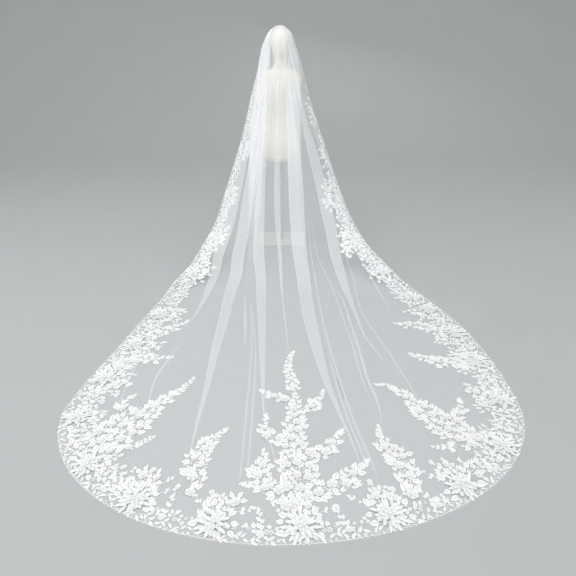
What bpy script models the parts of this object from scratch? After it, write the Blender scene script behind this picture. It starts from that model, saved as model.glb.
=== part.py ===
"""Bridal veil on a dress form.

A single-tier cathedral veil of soft net, gathered on a comb, edged with applied floral lace and
carrying lace sprays on its train. It rests on a limbless display form with a plain head, on a
pole and a flat base. The form faces +Y and the train runs to -Y. The origin is on the floor, in
the centre of the base plate's underside. Metres, +Z up.
"""

from collections import namedtuple
from math import cos, pi, radians, sin

import bmesh
import bpy
import numpy as np
from mathutils import Matrix

# ---- driving dimensions ----
TULLE = 0.0012  # thickness of the veil's wall
LACE = 0.0010  # thickness of the lace
SEAM = 0.0003  # gap between pieces that lie on or against each other
FLOOR = TULLE / 2  # height of the wall's middle where the train lies on the floor

HEAD_WIDTH = 0.070  # half width, half depth, half height and centre height of the head
HEAD_DEPTH = 0.090
HEAD_HEIGHT = 0.117
HEAD_CENTRE = 1.585
HEAD_CHIN = 128  # degrees down from the crown where the head meets the neck
BODY_BOTTOM = 0.735
RIM_THICKNESS = 0.012
RIM_HALF_WIDTH = 0.130
RIM_HALF_DEPTH = 0.088
RIM_CENTRE_Y = -0.003
POLE_RADIUS = 0.0125
COLLAR_RADIUS = 0.021
COLLAR_LENGTH = 0.034
COLLAR_HEIGHT = 0.62
BASE_WIDTH = 0.42
BASE_DEPTH = 0.30
BASE_THICKNESS = 0.006
BASE_CORNER = 0.035
TURNED_SIDES = 16  # sides of a round pole or ring
CORNER_SIDES = 5

COMB_THICKNESS = 0.0020
COMB_TEETH = 12
COMB_HALF_ANGLE = 33  # degrees to each side of the middle of the head
COMB_SPINE = (3, 9)  # degrees back from the crown: the spine, then down to the tips
COMB_TIPS = 32

collection = None


# ---- small helpers ----
def clear_scene():
    for item in list(bpy.data.objects):
        bpy.data.objects.remove(item, do_unlink=True)


def material(name, colour, roughness, metallic=0.0):
    made = bpy.data.materials.new(name)
    made.use_nodes = True
    shader = made.node_tree.nodes["Principled BSDF"]
    shader.inputs["Base Color"].default_value = (*colour, 1.0)
    shader.inputs["Roughness"].default_value = roughness
    shader.inputs["Metallic"].default_value = metallic
    made.diffuse_color = (*colour, 1.0)
    return made


def add_object(name, data, finish):
    made = bpy.data.objects.new(name, data)
    collection.objects.link(made)
    data.materials.append(finish)
    return made


def mesh_object(name, points, faces, finish):
    mesh = bpy.data.meshes.new(name)
    mesh.from_pydata([tuple(map(float, p)) for p in points], [], faces)
    mesh.shade_smooth()
    return add_object(name, mesh, finish)


def bmesh_object(name, bm, finish):
    mesh = bpy.data.meshes.new(name)
    bm.to_mesh(mesh)
    bm.free()
    return add_object(name, mesh, finish)


def thicken(item, thickness, offset):
    """Offset 0 grows the sheet to both sides, 1 to its outer side only."""
    solid = item.modifiers.new("wall", "SOLIDIFY")
    solid.thickness = thickness
    solid.offset = offset
    return item


def through(places, values, at):
    """A smooth curve through values at the given places, read at at."""
    places = np.asarray(places, float)
    values = np.asarray(values, float)
    at = np.clip(np.asarray(at, float), places[0], places[-1])
    slopes = np.gradient(values, places)
    low = np.clip(np.searchsorted(places, at, side="right") - 1, 0, len(places) - 2)
    span = places[low + 1] - places[low]
    f = (at - places[low]) / span
    return (
        (1 + 2 * f) * (1 - f) ** 2 * values[low]
        + f * (1 - f) ** 2 * span * slopes[low]
        + f * f * (3 - 2 * f) * values[low + 1]
        - f * f * (1 - f) * span * slopes[low + 1]
    )


def ramp(low, high, at):
    """0 below low, 1 above high, smooth between."""
    f = np.clip((at - low) / (high - low), 0, 1)
    return f * f * (3 - 2 * f)


# ---- dress form ----
Ring = namedtuple("Ring", "height half_width front back")
BODY = [  # neck, shoulders, bust, waist and hips
    Ring(1.490, 0.0500, 0.0600, 0.0580),
    Ring(1.462, 0.0485, 0.0530, 0.0510),
    Ring(1.437, 0.0500, 0.0520, 0.0510),
    Ring(1.420, 0.0600, 0.0550, 0.0530),
    Ring(1.408, 0.0820, 0.0600, 0.0580),
    Ring(1.396, 0.1110, 0.0650, 0.0640),
    Ring(1.382, 0.1360, 0.0710, 0.0710),
    Ring(1.364, 0.1530, 0.0780, 0.0780),
    Ring(1.338, 0.1610, 0.0860, 0.0850),
    Ring(1.300, 0.1610, 0.1000, 0.0910),
    Ring(1.255, 0.1550, 0.1110, 0.0930),
    Ring(1.205, 0.1450, 0.1080, 0.0890),
    Ring(1.150, 0.1290, 0.0950, 0.0810),
    Ring(1.080, 0.1160, 0.0880, 0.0760),
    Ring(1.010, 0.1230, 0.0920, 0.0820),
    Ring(0.940, 0.1400, 0.0980, 0.0960),
    Ring(0.870, 0.1500, 0.1020, 0.1080),
    Ring(0.800, 0.1480, 0.1000, 0.1070),
    Ring(BODY_BOTTOM, 0.1350, 0.0900, 0.0960),
]
HEAD_RINGS = 9
HEAD_TOP_RING = 9  # degrees down from the crown where its first ring lies
AROUND = 26


def head_ring(angle):
    """The ring of the egg-shaped head at an angle down from its crown."""
    return Ring(
        HEAD_CENTRE + HEAD_HEIGHT * cos(angle),
        HEAD_WIDTH * sin(angle),
        HEAD_DEPTH * sin(angle),
        HEAD_DEPTH * sin(angle),
    )


def form_body(finish):
    angles = np.linspace(HEAD_TOP_RING, HEAD_CHIN, HEAD_RINGS + 1)[:-1]
    rings = [head_ring(radians(angle)) for angle in angles] + BODY
    points = []
    for ring in rings:
        for k in range(AROUND):
            turn = 2 * pi * k / AROUND
            depth = ring.front if sin(turn) > 0 else ring.back
            points.append((ring.half_width * cos(turn), depth * sin(turn), ring.height))
    faces = [
        (
            i * AROUND + k,
            (i + 1) * AROUND + k,
            (i + 1) * AROUND + (k + 1) % AROUND,
            i * AROUND + (k + 1) % AROUND,
        )
        for i in range(len(rings) - 1)
        for k in range(AROUND)
    ]
    faces.append(list(range(AROUND)))
    faces.append(list(range(len(points) - AROUND, len(points)))[::-1])
    return mesh_object("form_body", points, faces, finish)


def form_rim(finish):
    bm = bmesh.new()
    bmesh.ops.create_cone(
        bm, cap_ends=True, segments=AROUND, radius1=1, radius2=1, depth=RIM_THICKNESS
    )
    middle = BODY_BOTTOM - SEAM - RIM_THICKNESS / 2
    bmesh.ops.transform(
        bm,
        matrix=Matrix.Translation((0, RIM_CENTRE_Y, middle))
        @ Matrix.Diagonal((RIM_HALF_WIDTH, RIM_HALF_DEPTH, 1, 1)),
        verts=bm.verts,
    )
    return bmesh_object("form_rim", bm, finish)


def stand_pole(finish):
    bottom = BASE_THICKNESS + SEAM
    top = BODY_BOTTOM - RIM_THICKNESS - 2 * SEAM
    bm = bmesh.new()
    bmesh.ops.create_cone(
        bm,
        cap_ends=True,
        segments=TURNED_SIDES,
        radius1=POLE_RADIUS,
        radius2=POLE_RADIUS,
        depth=top - bottom,
    )
    bmesh.ops.translate(bm, vec=(0, 0, (top + bottom) / 2), verts=bm.verts)
    return bmesh_object("stand_pole", bm, finish)


def stand_collar(finish):
    """A plain ring round the pole, turned from its closed section."""
    inner = POLE_RADIUS + SEAM
    half = COLLAR_LENGTH / 2
    section = [(inner, -half), (COLLAR_RADIUS, -half), (COLLAR_RADIUS, half), (inner, half)]
    points = []
    faces = []
    for k in range(TURNED_SIDES):
        turn = 2 * pi * k / TURNED_SIDES
        points += [(r * cos(turn), r * sin(turn), COLLAR_HEIGHT + z) for r, z in section]
        here, there = 4 * k, 4 * ((k + 1) % TURNED_SIDES)
        faces += [(here + j, there + j, there + (j + 1) % 4, here + (j + 1) % 4) for j in range(4)]
    return mesh_object("stand_collar", points, faces, finish)


def stand_base(finish):
    bm = bmesh.new()
    bmesh.ops.create_cube(bm, size=1)
    bmesh.ops.transform(
        bm,
        matrix=Matrix.Translation((0, 0, BASE_THICKNESS / 2))
        @ Matrix.Diagonal((BASE_WIDTH, BASE_DEPTH, BASE_THICKNESS, 1)),
        verts=bm.verts,
    )
    upright = [e for e in bm.edges if abs(e.verts[0].co.z - e.verts[1].co.z) > BASE_THICKNESS / 2]
    bmesh.ops.bevel(
        bm, geom=upright, offset=BASE_CORNER, segments=CORNER_SIDES, profile=0.5, affect="EDGES"
    )
    return bmesh_object("stand_base", bm, finish)


# ---- comb ----
def on_head(side, back, lift):
    """A point over the head, lift above it: side and back are degrees from the crown."""
    side, back = radians(side), radians(back)
    reach = np.array([sin(side), -cos(side) * sin(back), cos(side) * cos(back)])
    axes = np.array([HEAD_WIDTH, HEAD_DEPTH, HEAD_HEIGHT])
    normal = reach / axes
    return axes * reach + normal / np.linalg.norm(normal) * lift + (0, 0, HEAD_CENTRE)


def comb(finish):
    """A spine with teeth, bent to the head: one sheet with a slot between each two teeth."""
    across = np.linspace(-COMB_HALF_ANGLE, COMB_HALF_ANGLE, 2 * COMB_TEETH)
    down = [COMB_SPINE[0], COMB_SPINE[1], (COMB_SPINE[1] + COMB_TIPS) / 2, COMB_TIPS]
    points = [on_head(side, back, 2 * SEAM) for back in down for side in across]
    count = len(across)
    faces = [
        (r * count + c, (r + 1) * count + c, (r + 1) * count + c + 1, r * count + c + 1)
        for r in range(len(down) - 1)
        for c in range(count - 1)
        if r == 0 or c % 2 == 0
    ]
    return thicken(mesh_object("comb", points, faces, finish), COMB_THICKNESS, 1)


# ---- the veil's form ----
# Each station is a line across the veil from one side edge to the other: half an ellipse in plan,
# from the middle of the back (centre) to the side edges, left and right of the middle.
Station = namedtuple(
    "Station", "centre_y centre_z left_y right_y edge_z left_half right_half left_wrap right_wrap"
)
STATIONS = [
    Station(-0.006, 1.7068, -0.004, -0.004, 1.698, 0.036, 0.032, 90, 90),  # 0 gathers on the comb
    Station(-0.074, 1.684, -0.006, -0.006, 1.664, 0.072, 0.064, 90, 90),
    Station(-0.113, 1.636, 0.004, 0.004, 1.614, 0.105, 0.096, 90, 90),
    Station(-0.128, 1.570, 0.018, 0.026, 1.550, 0.135, 0.115, 88, 96),
    Station(-0.140, 1.480, 0.030, 0.060, 1.460, 0.164, 0.140, 78, 110),
    Station(-0.150, 1.380, 0.030, 0.105, 1.360, 0.197, 0.170, 70, 122),  # 5 shoulders
    Station(-0.165, 1.250, 0.020, 0.125, 1.240, 0.243, 0.205, 66, 129),
    Station(-0.190, 1.080, -0.010, 0.115, 1.070, 0.293, 0.262, 66, 128),
    Station(-0.235, 0.880, -0.060, 0.070, 0.870, 0.348, 0.335, 69, 121),
    Station(-0.300, 0.660, -0.120, 0.000, 0.660, 0.414, 0.415, 75, 109),
    Station(-0.385, 0.450, -0.200, -0.135, 0.460, 0.476, 0.495, 81, 97),  # 10
    Station(-0.490, 0.270, -0.318, -0.300, 0.280, 0.543, 0.588, 86, 92),
    Station(-0.620, 0.130, -0.450, -0.450, 0.150, 0.635, 0.690, 90, 90),
    Station(-0.800, 0.042, -0.600, -0.600, 0.055, 0.715, 0.815, 90, 90),
    Station(-1.020, FLOOR, -0.820, -0.820, 0.008, 0.820, 0.925, 90, 90),
    Station(-1.350, FLOOR, -1.070, -1.070, FLOOR, 0.872, 1.040, 90, 90),  # 15 train
    Station(-1.720, FLOOR, -1.350, -1.350, FLOOR, 0.950, 1.158, 90, 90),
    Station(-2.100, FLOOR, -1.620, -1.600, FLOOR, 1.015, 1.222, 90, 90),
    Station(-2.450, FLOOR, -1.870, -1.830, FLOOR, 1.085, 1.252, 90, 90),
    Station(-2.750, FLOOR, -2.050, -1.980, FLOOR, 1.128, 1.262, 90, 90),
    Station(-2.980, FLOOR, -2.180, -2.140, FLOOR, 1.150, 1.262, 90, 90),  # 20 hem
]
HEM = len(STATIONS) - 1
TRAIN = 15  # from this station on the veil lies on the floor
HEAD_CLEARANCE = 2 * SEAM + COMB_THICKNESS + SEAM + TULLE / 2

# A pleat is a flat Z of three layers. Its rows give the station, the pleat's middle and its half
# width, the last two as shares of the way from the middle of the back (0) to a side edge (1).
Row = namedtuple("Row", "station middle half")
PLEATS = {
    "outer_left": [
        Row(2.0, -0.74, 0.065),
        Row(6.3, -0.725, 0.060),
        Row(8.5, -0.690, 0.058),
        Row(9.9, -0.640, 0.062),
        Row(11.9, -0.558, 0.058),
        Row(14.4, -0.463, 0.024),
        Row(15.0, -0.475, 0.020),
    ],
    "left": [
        Row(2.0, -0.570, 0.055),
        Row(6.3, -0.552, 0.078),
        Row(8.4, -0.484, 0.077),
        Row(9.9, -0.436, 0.077),
        Row(13.6, -0.313, 0.043),
        Row(15.3, -0.294, 0.028),
        Row(17.4, -0.270, 0.018),
    ],
    "inner_left": [
        Row(2.0, -0.370, 0.050),
        Row(6.3, -0.318, 0.081),
        Row(8.4, -0.251, 0.083),
        Row(9.8, -0.262, 0.071),
        Row(13.5, -0.136, 0.038),
        Row(15.2, -0.100, 0.024),
        Row(16.3, -0.076, 0.018),
    ],
    "centre": [
        Row(2.0, -0.080, 0.045),
        Row(6.3, -0.077, 0.045),
        Row(8.4, -0.063, 0.047),
        Row(9.8, -0.052, 0.039),
        Row(11.7, -0.018, 0.018),
        Row(14.0, 0.002, 0.018),
        Row(15.6, 0.020, 0.018),
    ],
    "inner_right": [
        Row(2.0, 0.160, 0.050),
        Row(6.3, 0.134, 0.056),
        Row(8.4, 0.143, 0.075),
        Row(9.8, 0.147, 0.079),
        Row(13.0, 0.127, 0.043),
        Row(15.3, 0.116, 0.028),
        Row(16.9, 0.150, 0.018),
    ],
    "right": [
        Row(2.0, 0.400, 0.050),
        Row(6.3, 0.323, 0.054),
        Row(8.4, 0.378, 0.058),
        Row(9.9, 0.443, 0.057),
        Row(13.3, 0.364, 0.032),
        Row(15.0, 0.319, 0.020),
        Row(15.8, 0.312, 0.018),
    ],
    "outer_right": [
        Row(2.0, 0.700, 0.040),
        Row(6.3, 0.619, 0.036),
        Row(8.4, 0.628, 0.035),
        Row(10.0, 0.640, 0.032),
        Row(12.5, 0.610, 0.024),
        Row(14.2, 0.546, 0.020),
        Row(15.0, 0.510, 0.018),
    ],
}
FLAT_COLUMNS = [1, 0, 1, 2, 2, 2, 2, 1]  # plain columns before, between and after the pleats
EDGE_COLUMNS = [0.0, 0.35, 0.70, 1.0]  # columns in the lace edging, as shares of its width
EDGE_STATIONS = [4, 8, 10, 12, HEM]
EDGE_WIDTHS = [0.15, 0.19, 0.25, 0.28, 0.27]  # the edging's width at those stations, as a share
SWING = 0.66  # where a pleat leaves and joins the plain cloth, in half widths
DEPTH = 0.0082  # height of a folded pleat over the plain cloth before it
Turn = namedtuple("Turn", "side lift spread")
Z_FOLD = [  # each column of a folded pleat: its side in half widths and its lift in depths
    Turn(0, 0.0, 0),
    Turn(1, 0.11, 0),
    Turn(1, 0.45, -1),
    Turn(-1, 0.55, 1),
    Turn(-1, 0.89, 0),
    Turn(0, 1.0, 0),
]
# The columns of each pleat's middle layer, which runs back: its cells are split the other way, so
# that the three layers of a pleat stay parallel.
BACK_LAYERS = [
    len(EDGE_COLUMNS) + sum(FLAT_COLUMNS[: k + 1]) + len(Z_FOLD) * k + 2 for k in range(len(PLEATS))
]
Stage = namedtuple("Stage", "risen open back spread")
STAGES = [  # a pleat row by row from either end: a slope, then a step, then three layers
    Stage(0.0, 1, 0.0, 0.0),
    Stage(0.6, 1, 0.0, 0.0),
    Stage(1.0, 0, 0.0, 0.25),
    Stage(1.0, 0, 0.28, 0.15),
    Stage(1.0, 0, 0.65, 0.06),
    Stage(1.0, 0, 1.0, 0.0),
]
FIRST_ROW = 7  # the row of the veil where the pleats start
GATHERS = 9
GATHER_DEPTH = 0.0014
GATHER_TOP = 0.3  # share of that depth where they are sewn to the comb
GATHERS_FULL = 1.2
GATHERS_END = 3.4

ROWS = np.concatenate(
    [np.linspace(0, 3, 8)[:-1], np.linspace(3, TRAIN, 20)[:-1], np.linspace(TRAIN, HEM, 9)]
)


def veil_form(station, share):
    """The veil without its pleats: share runs from -1, the left edge, to 1, the right edge."""
    station, share = np.broadcast_arrays(np.asarray(station, float), np.asarray(share, float))
    place = range(HEM + 1)
    read = {f: through(place, [getattr(s, f) for s in STATIONS], station) for f in Station._fields}
    on_left = share < 0
    half = np.where(on_left, read["left_half"], read["right_half"])
    edge_y = np.where(on_left, read["left_y"], read["right_y"])
    wrap = np.radians(np.where(on_left, read["left_wrap"], read["right_wrap"]))
    forward = (1 - np.cos(share * wrap)) / (1 - np.cos(wrap))
    points = np.stack(
        [
            half * np.sin(share * wrap),
            read["centre_y"] + (edge_y - read["centre_y"]) * forward,
            np.maximum(read["centre_z"] + (read["edge_z"] - read["centre_z"]) * forward, FLOOR),
        ],
        axis=-1,
    )
    return points


def outward(station, share):
    """The veil's outer side: away from the form, and up on the train."""
    step = 0.01
    up = np.clip(station - step, 0, HEM - 2 * step)
    along = veil_form(up + 2 * step, share) - veil_form(up, share)
    across = veil_form(station, share + step) - veil_form(station, share - step)
    normal = np.cross(along, across)
    return normal / np.linalg.norm(normal, axis=-1, keepdims=True)


def columns(station):
    """Each column's share and its lift off the plain form, in one row of the veil."""
    width = float(through(EDGE_STATIONS, EDGE_WIDTHS, station))
    shares = [width * e - 1 for e in EDGE_COLUMNS]
    lifts = [0.0] * len(EDGE_COLUMNS)

    def plain(count, end):
        start_share, start_lift = shares[-1], lifts[-1]
        for i in range(1, count + 1):
            f = i / (count + 1)
            shares.append(start_share + (end - start_share) * f)
            lifts.append(start_lift * (1 - ramp(0, 1, f)))

    here = np.interp(station, ROWS, range(len(ROWS)))
    for count, rows in zip(FLAT_COLUMNS, PLEATS.values()):
        places = [row.station for row in rows]
        middle = float(through(places, [row.middle for row in rows], station))
        half = float(through(places, [row.half for row in rows], station))
        last_row = np.round(np.interp(places[-1], ROWS, range(len(ROWS))))
        from_end = min(here - FIRST_ROW, last_row - here)
        stage = Stage(*(np.interp(from_end, range(len(STAGES)), s) for s in zip(*STAGES)))
        plain(count, middle - SWING * half)
        for i, turn in enumerate(Z_FOLD):
            slope = i / (len(Z_FOLD) - 1)
            at_end = slope in (0, 1)
            side = SWING * (2 * slope - 1) * (1 if at_end else stage.open) + turn.side * stage.back
            folded_lift = turn.lift + turn.spread * stage.spread
            shares.append(middle + half * side)
            lifts.append(
                DEPTH * stage.risen * (slope * stage.open + folded_lift * (1 - stage.open))
            )
    plain(FLAT_COLUMNS[-1], 1 - width)
    shares += [1 - width * e for e in EDGE_COLUMNS[::-1]]
    lifts += [0.0] * len(EDGE_COLUMNS)
    return np.array(shares), np.array(lifts)


def off_the_head(points):
    """Moves points that would come too near the head out to its clearance."""
    centre = np.array([0, 0, HEAD_CENTRE])
    axes = np.array([HEAD_WIDTH, HEAD_DEPTH, HEAD_HEIGHT]) + HEAD_CLEARANCE
    reach = (points - centre) / axes
    depth = np.linalg.norm(reach, axis=-1, keepdims=True)
    return np.where(depth < 1, centre + reach / np.maximum(depth, 0.1) * axes, points)


def veil_points():
    grid = []
    for station in ROWS:
        shares, lifts = columns(station)
        gather = (GATHER_TOP + (1 - GATHER_TOP) * ramp(0, GATHERS_FULL, station)) * (
            1 - ramp(GATHERS_FULL, GATHERS_END, station)
        )
        lifts = lifts + GATHER_DEPTH * gather * (1 - np.cos(pi * GATHERS * shares))
        points = veil_form(station, shares)
        grid.append(off_the_head(points + outward(station, shares) * lifts[:, None]))
    return np.array(grid)


def cell(row, column, width):
    """The two triangles of one cell of the veil's grid."""
    a = row * width + column
    b = a + width
    if column in BACK_LAYERS:
        return [(a, b, a + 1), (a + 1, b, b + 1)]
    return [(a, b, b + 1), (a, b + 1, a + 1)]


def veil_tulle(finish):
    grid = veil_points()
    rows, width = grid.shape[:2]
    faces = [f for r in range(rows - 1) for c in range(width - 1) for f in cell(r, c, width)]
    made = mesh_object("veil_tulle", grid.reshape(-1, 3), faces, finish)
    return thicken(made, TULLE, 0)


# ---- lace edging on the hanging part of the veil ----
EDGING_STARTS = 4.8


def lace_side(name, tulle, mirrored, finish):
    """The edging lies on the veil's own points, moved out. Its inner edge goes in and out from
    row to row, and every second row is open between the band and its florets."""
    width = len(tulle.data.vertices) // len(ROWS)
    base = [np.array(v.co) + np.array(v.normal) * (TULLE / 2 + SEAM) for v in tulle.data.vertices]
    used = {}
    faces = []
    rows = [r for r in range(len(ROWS) - 1) if EDGING_STARTS <= ROWS[r] < TRAIN - 0.01]
    for r in rows:
        for c in range(3):
            column = width - 2 - c if mirrored else c
            whole = cell(r, column, width)
            if c == 0 or (c == 1 and r % 2 == 0):
                faces += whole
            elif c == 1:
                continue
            elif r % 2 == 0:
                faces.append(whole[1 if mirrored else 0])
    for face in faces:
        for v in face:
            used.setdefault(v, len(used))
    points = [base[v] for v in used]
    made = mesh_object(name, points, [tuple(used[v] for v in f) for f in faces], finish)
    return thicken(made, LACE, 1)


# ---- lace on the train: the edging with its bouquets, and the sprays ----
LACE_BASE = TULLE + SEAM
BORDER_STARTS = TRAIN + 0.2
BORDER_TURNS = 0.30  # length over which its first lines turn square to the edge
BORDER_STEP = 0.037
BORDER_INSET = 0.004
BORDER_SCALLOP = 0.006
BAND = 0.030
BRIDGE = 0.014
SPRIG = 0.045
NET_MARGIN = 0.016  # least width of lace beyond the bridges
BOUQUET = 0.155
BOUQUET_PITCH = 0.380
BOUQUET_HALF = 0.120
BOUQUET_FLAT = 0.042  # half width of its level top
BOUQUET_START = 0.26
SPRIG_HALF = 0.030
NOTCH = 0.72  # each second point of a bouquet or sprig reaches only this far


def border_path():
    """Points along the train's edge, with the directions into the cloth: down the left side,
    round the hem and up the right side."""
    down = np.linspace(BORDER_STARTS, HEM, 60)
    round_hem = np.linspace(-1, 1, 240)[1:-1]
    edge = np.concatenate(
        [veil_form(down, -1.0), veil_form(float(HEM), round_hem), veil_form(down[::-1], 1.0)]
    )[:, :2]
    along = np.concatenate([[0], np.cumsum(np.linalg.norm(np.diff(edge, axis=0), axis=1))])
    count = int(along[-1] / BORDER_STEP / 2) * 2
    place = np.linspace(0, along[-1], count + 1)
    points = np.stack([np.interp(place, along, edge[:, i]) for i in range(2)], axis=1)
    run = np.gradient(points, axis=0)
    run /= np.linalg.norm(run, axis=1, keepdims=True)
    inward = np.stack([-run[:, 1], run[:, 0]], axis=1)
    for side, from_end in ((-1, place), (1, place[-1] - place)):
        across = veil_form(BORDER_STARTS, 0.7 * side) - veil_form(BORDER_STARTS, side)
        across = across[:2] / np.linalg.norm(across[:2])
        square = ramp(0, BORDER_TURNS, from_end)[:, None]
        inward = inward * square + across * (1 - square)
    return place, points, inward / np.linalg.norm(inward, axis=1, keepdims=True)


def lace_border(finish):
    """One flat trim: an edging band, and beyond a row of small gaps the bouquets and sprigs."""
    place, edge, inward = border_path()
    phase = (place - BOUQUET_START) / BOUQUET_PITCH
    off = np.abs(phase - np.round(phase)) * BOUQUET_PITCH
    bouquet = 1 - ramp(BOUQUET_FLAT, BOUQUET_HALF, off)
    sprig = np.where(off > BOUQUET_PITCH / 2 - SPRIG_HALF, 1.0, 0.0)
    step = np.arange(len(place))
    petal = np.where(step % 2 == 0, 1.0, NOTCH)
    reach = BAND + BRIDGE + NET_MARGIN + (BOUQUET * bouquet + SPRIG * sprig) * petal
    outer = BORDER_INSET + BORDER_SCALLOP * (step % 2)
    lines = [outer, np.full(len(place), BAND), np.full(len(place), BAND + BRIDGE), reach]
    points = [
        (*(edge[i] + inward[i] * line[i]), LACE_BASE) for line in lines for i in range(len(place))
    ]
    count = len(place)
    faces = []
    for i in range(count - 1):
        for lane in range(3):
            if lane == 1 and i % 2:
                continue
            a = lane * count + i
            b = a + count
            faces.append((a, a + 1, b + 1, b))
    return thicken(mesh_object("lace_border", points, faces, finish), LACE, 1)


Spray = namedtuple("Spray", "root_x root_y tip_x tip_y bow reach leaves")
SPRAYS = {
    "centre_stem": Spray(0.075, -2.660, 0.062, -1.700, 0.010, 0.084, 13),
    "centre_low_left": Spray(-0.005, -2.640, -0.200, -2.570, 0.020, 0.070, 4),
    "centre_low_right": Spray(0.155, -2.640, 0.370, -2.570, -0.020, 0.070, 4),
    "centre_mid_left": Spray(-0.030, -2.430, -0.140, -2.330, 0.010, 0.060, 3),
    "centre_mid_right": Spray(0.180, -2.430, 0.310, -2.340, -0.010, 0.060, 3),
    "centre_high_left": Spray(-0.010, -2.180, -0.090, -2.090, 0.010, 0.048, 3),
    "centre_high_right": Spray(0.145, -2.200, 0.240, -2.090, -0.010, 0.050, 3),
    "left_diagonal": Spray(-0.850, -2.330, -0.490, -1.980, 0.030, 0.110, 8),
    "left_centre": Spray(-0.400, -2.620, -0.290, -2.350, 0.030, 0.074, 5),
    "left_side_low": Spray(-0.860, -1.850, -0.650, -1.750, -0.010, 0.070, 4),
    "left_side_high": Spray(-0.760, -1.430, -0.610, -1.350, -0.010, 0.058, 3),
    "right_diagonal": Spray(0.930, -2.330, 0.560, -1.985, -0.030, 0.110, 8),
    "right_centre": Spray(0.540, -2.620, 0.470, -2.330, -0.030, 0.074, 5),
    "right_side_low": Spray(1.020, -1.800, 0.790, -1.720, 0.010, 0.070, 4),
    "right_side_high": Spray(0.900, -1.440, 0.760, -1.370, 0.010, 0.058, 3),
}
STEM = 0.14  # a spray's stem between two leaves, as a share of its reach
LEAF_SLANT = 0.55  # how far a leaf's tip leans towards the spray's tip
LEAF_SHIFT = 0.45  # how far the right leaves lie behind the left ones, in leaves
TIP_GAP = 0.8  # stem beyond the last leaf, in leaves
TAPER = 0.72  # how much smaller the leaves get to the tip
ROOT_SIZE = 0.55  # size of the first leaf, and how fast the next ones reach full size
ROOT_GROWTH = 2.2
LEAF_OUTLINE = [(0.0, 0.0), (0.30, 0.80), (0.62, 1.0), (0.74, 0.42)]  # along a leaf, out


def lace_spray(name, spray, finish):
    """A flat appliqué: leaves that alternate along a bowed stem and get smaller to its tip."""
    root = np.array([spray.root_x, spray.root_y])
    tip = np.array([spray.tip_x, spray.tip_y])
    length = np.linalg.norm(tip - root)
    run = (tip - root) / length
    left = np.array([-run[1], run[0]])

    def outline_side(side, shift):
        points = []
        for leaf in range(spray.leaves):
            for along, out in LEAF_OUTLINE:
                s = (leaf + shift + along) / (spray.leaves + TIP_GAP)
                size = spray.reach * (1 - TAPER * s) * min(1.0, ROOT_SIZE + ROOT_GROWTH * s)
                off = size * (STEM + (1 - STEM) * out)
                place = root + run * (s * length + off * out * LEAF_SLANT)
                place = place + left * (spray.bow * sin(pi * s) + side * off)
                points.append(place)
        return points

    outline = outline_side(-1, 0.0) + [tip] + outline_side(1, LEAF_SHIFT)[::-1]
    curve = bpy.data.curves.new(name, "CURVE")
    curve.dimensions = "2D"
    curve.fill_mode = "BOTH"
    curve.extrude = LACE / 2
    spline = curve.splines.new("POLY")
    spline.points.add(len(outline) - 1)
    for point, (x, y) in zip(spline.points, outline):
        point.co = (x, y, 0, 1)
    spline.use_cyclic_u = True
    made = add_object(name, curve, finish)
    made.location.z = LACE_BASE + LACE / 2
    return made


# ---- assembly ----
def build():
    global collection
    clear_scene()
    collection = bpy.data.collections.new("bridal_veil_on_dress_form")
    bpy.context.scene.collection.children.link(collection)

    jersey = material("ivory_jersey", (0.90, 0.88, 0.80), 0.75)
    plastic = material("clear_comb", (0.86, 0.86, 0.86), 0.30)
    paint = material("white_paint", (0.86, 0.86, 0.85), 0.35)
    stand = material("stand_paint", (0.68, 0.68, 0.67), 0.35)
    tulle = material("white_tulle", (0.92, 0.93, 0.95), 0.80)
    lace = material("white_lace", (0.97, 0.97, 0.97), 0.70)

    form_body(jersey)
    form_rim(paint)
    stand_pole(stand)
    stand_collar(stand)
    stand_base(stand)
    comb(plastic)
    veil = veil_tulle(tulle)
    lace_side("lace_side_left", veil, False, lace)
    lace_side("lace_side_right", veil, True, lace)
    lace_border(lace)
    for name, spray in SPRAYS.items():
        lace_spray("spray_" + name, spray, lace)


build()
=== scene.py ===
from collections import defaultdict, namedtuple
from math import cos, pi, radians, sin

import bpy
import numpy as np
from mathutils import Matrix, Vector


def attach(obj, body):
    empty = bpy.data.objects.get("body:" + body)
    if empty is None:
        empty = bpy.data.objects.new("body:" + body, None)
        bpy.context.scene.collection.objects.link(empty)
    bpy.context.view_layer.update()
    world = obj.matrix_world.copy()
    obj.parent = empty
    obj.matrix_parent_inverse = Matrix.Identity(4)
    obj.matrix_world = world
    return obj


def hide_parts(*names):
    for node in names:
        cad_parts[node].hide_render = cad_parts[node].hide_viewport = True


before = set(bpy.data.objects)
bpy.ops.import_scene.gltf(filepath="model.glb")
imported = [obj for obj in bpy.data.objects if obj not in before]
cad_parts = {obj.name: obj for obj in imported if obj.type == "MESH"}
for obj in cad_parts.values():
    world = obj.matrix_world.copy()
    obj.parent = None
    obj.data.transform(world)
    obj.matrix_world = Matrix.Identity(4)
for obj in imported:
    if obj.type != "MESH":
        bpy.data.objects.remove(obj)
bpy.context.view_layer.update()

# ---- Padded body of the display form ----
# A hollow moulded shell padded and covered with stretch jersey: plain egg-shaped head, neck,
# shoulders, bust, waist and hips, no arms. One lofted skin over the same rings as its pattern.

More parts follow.
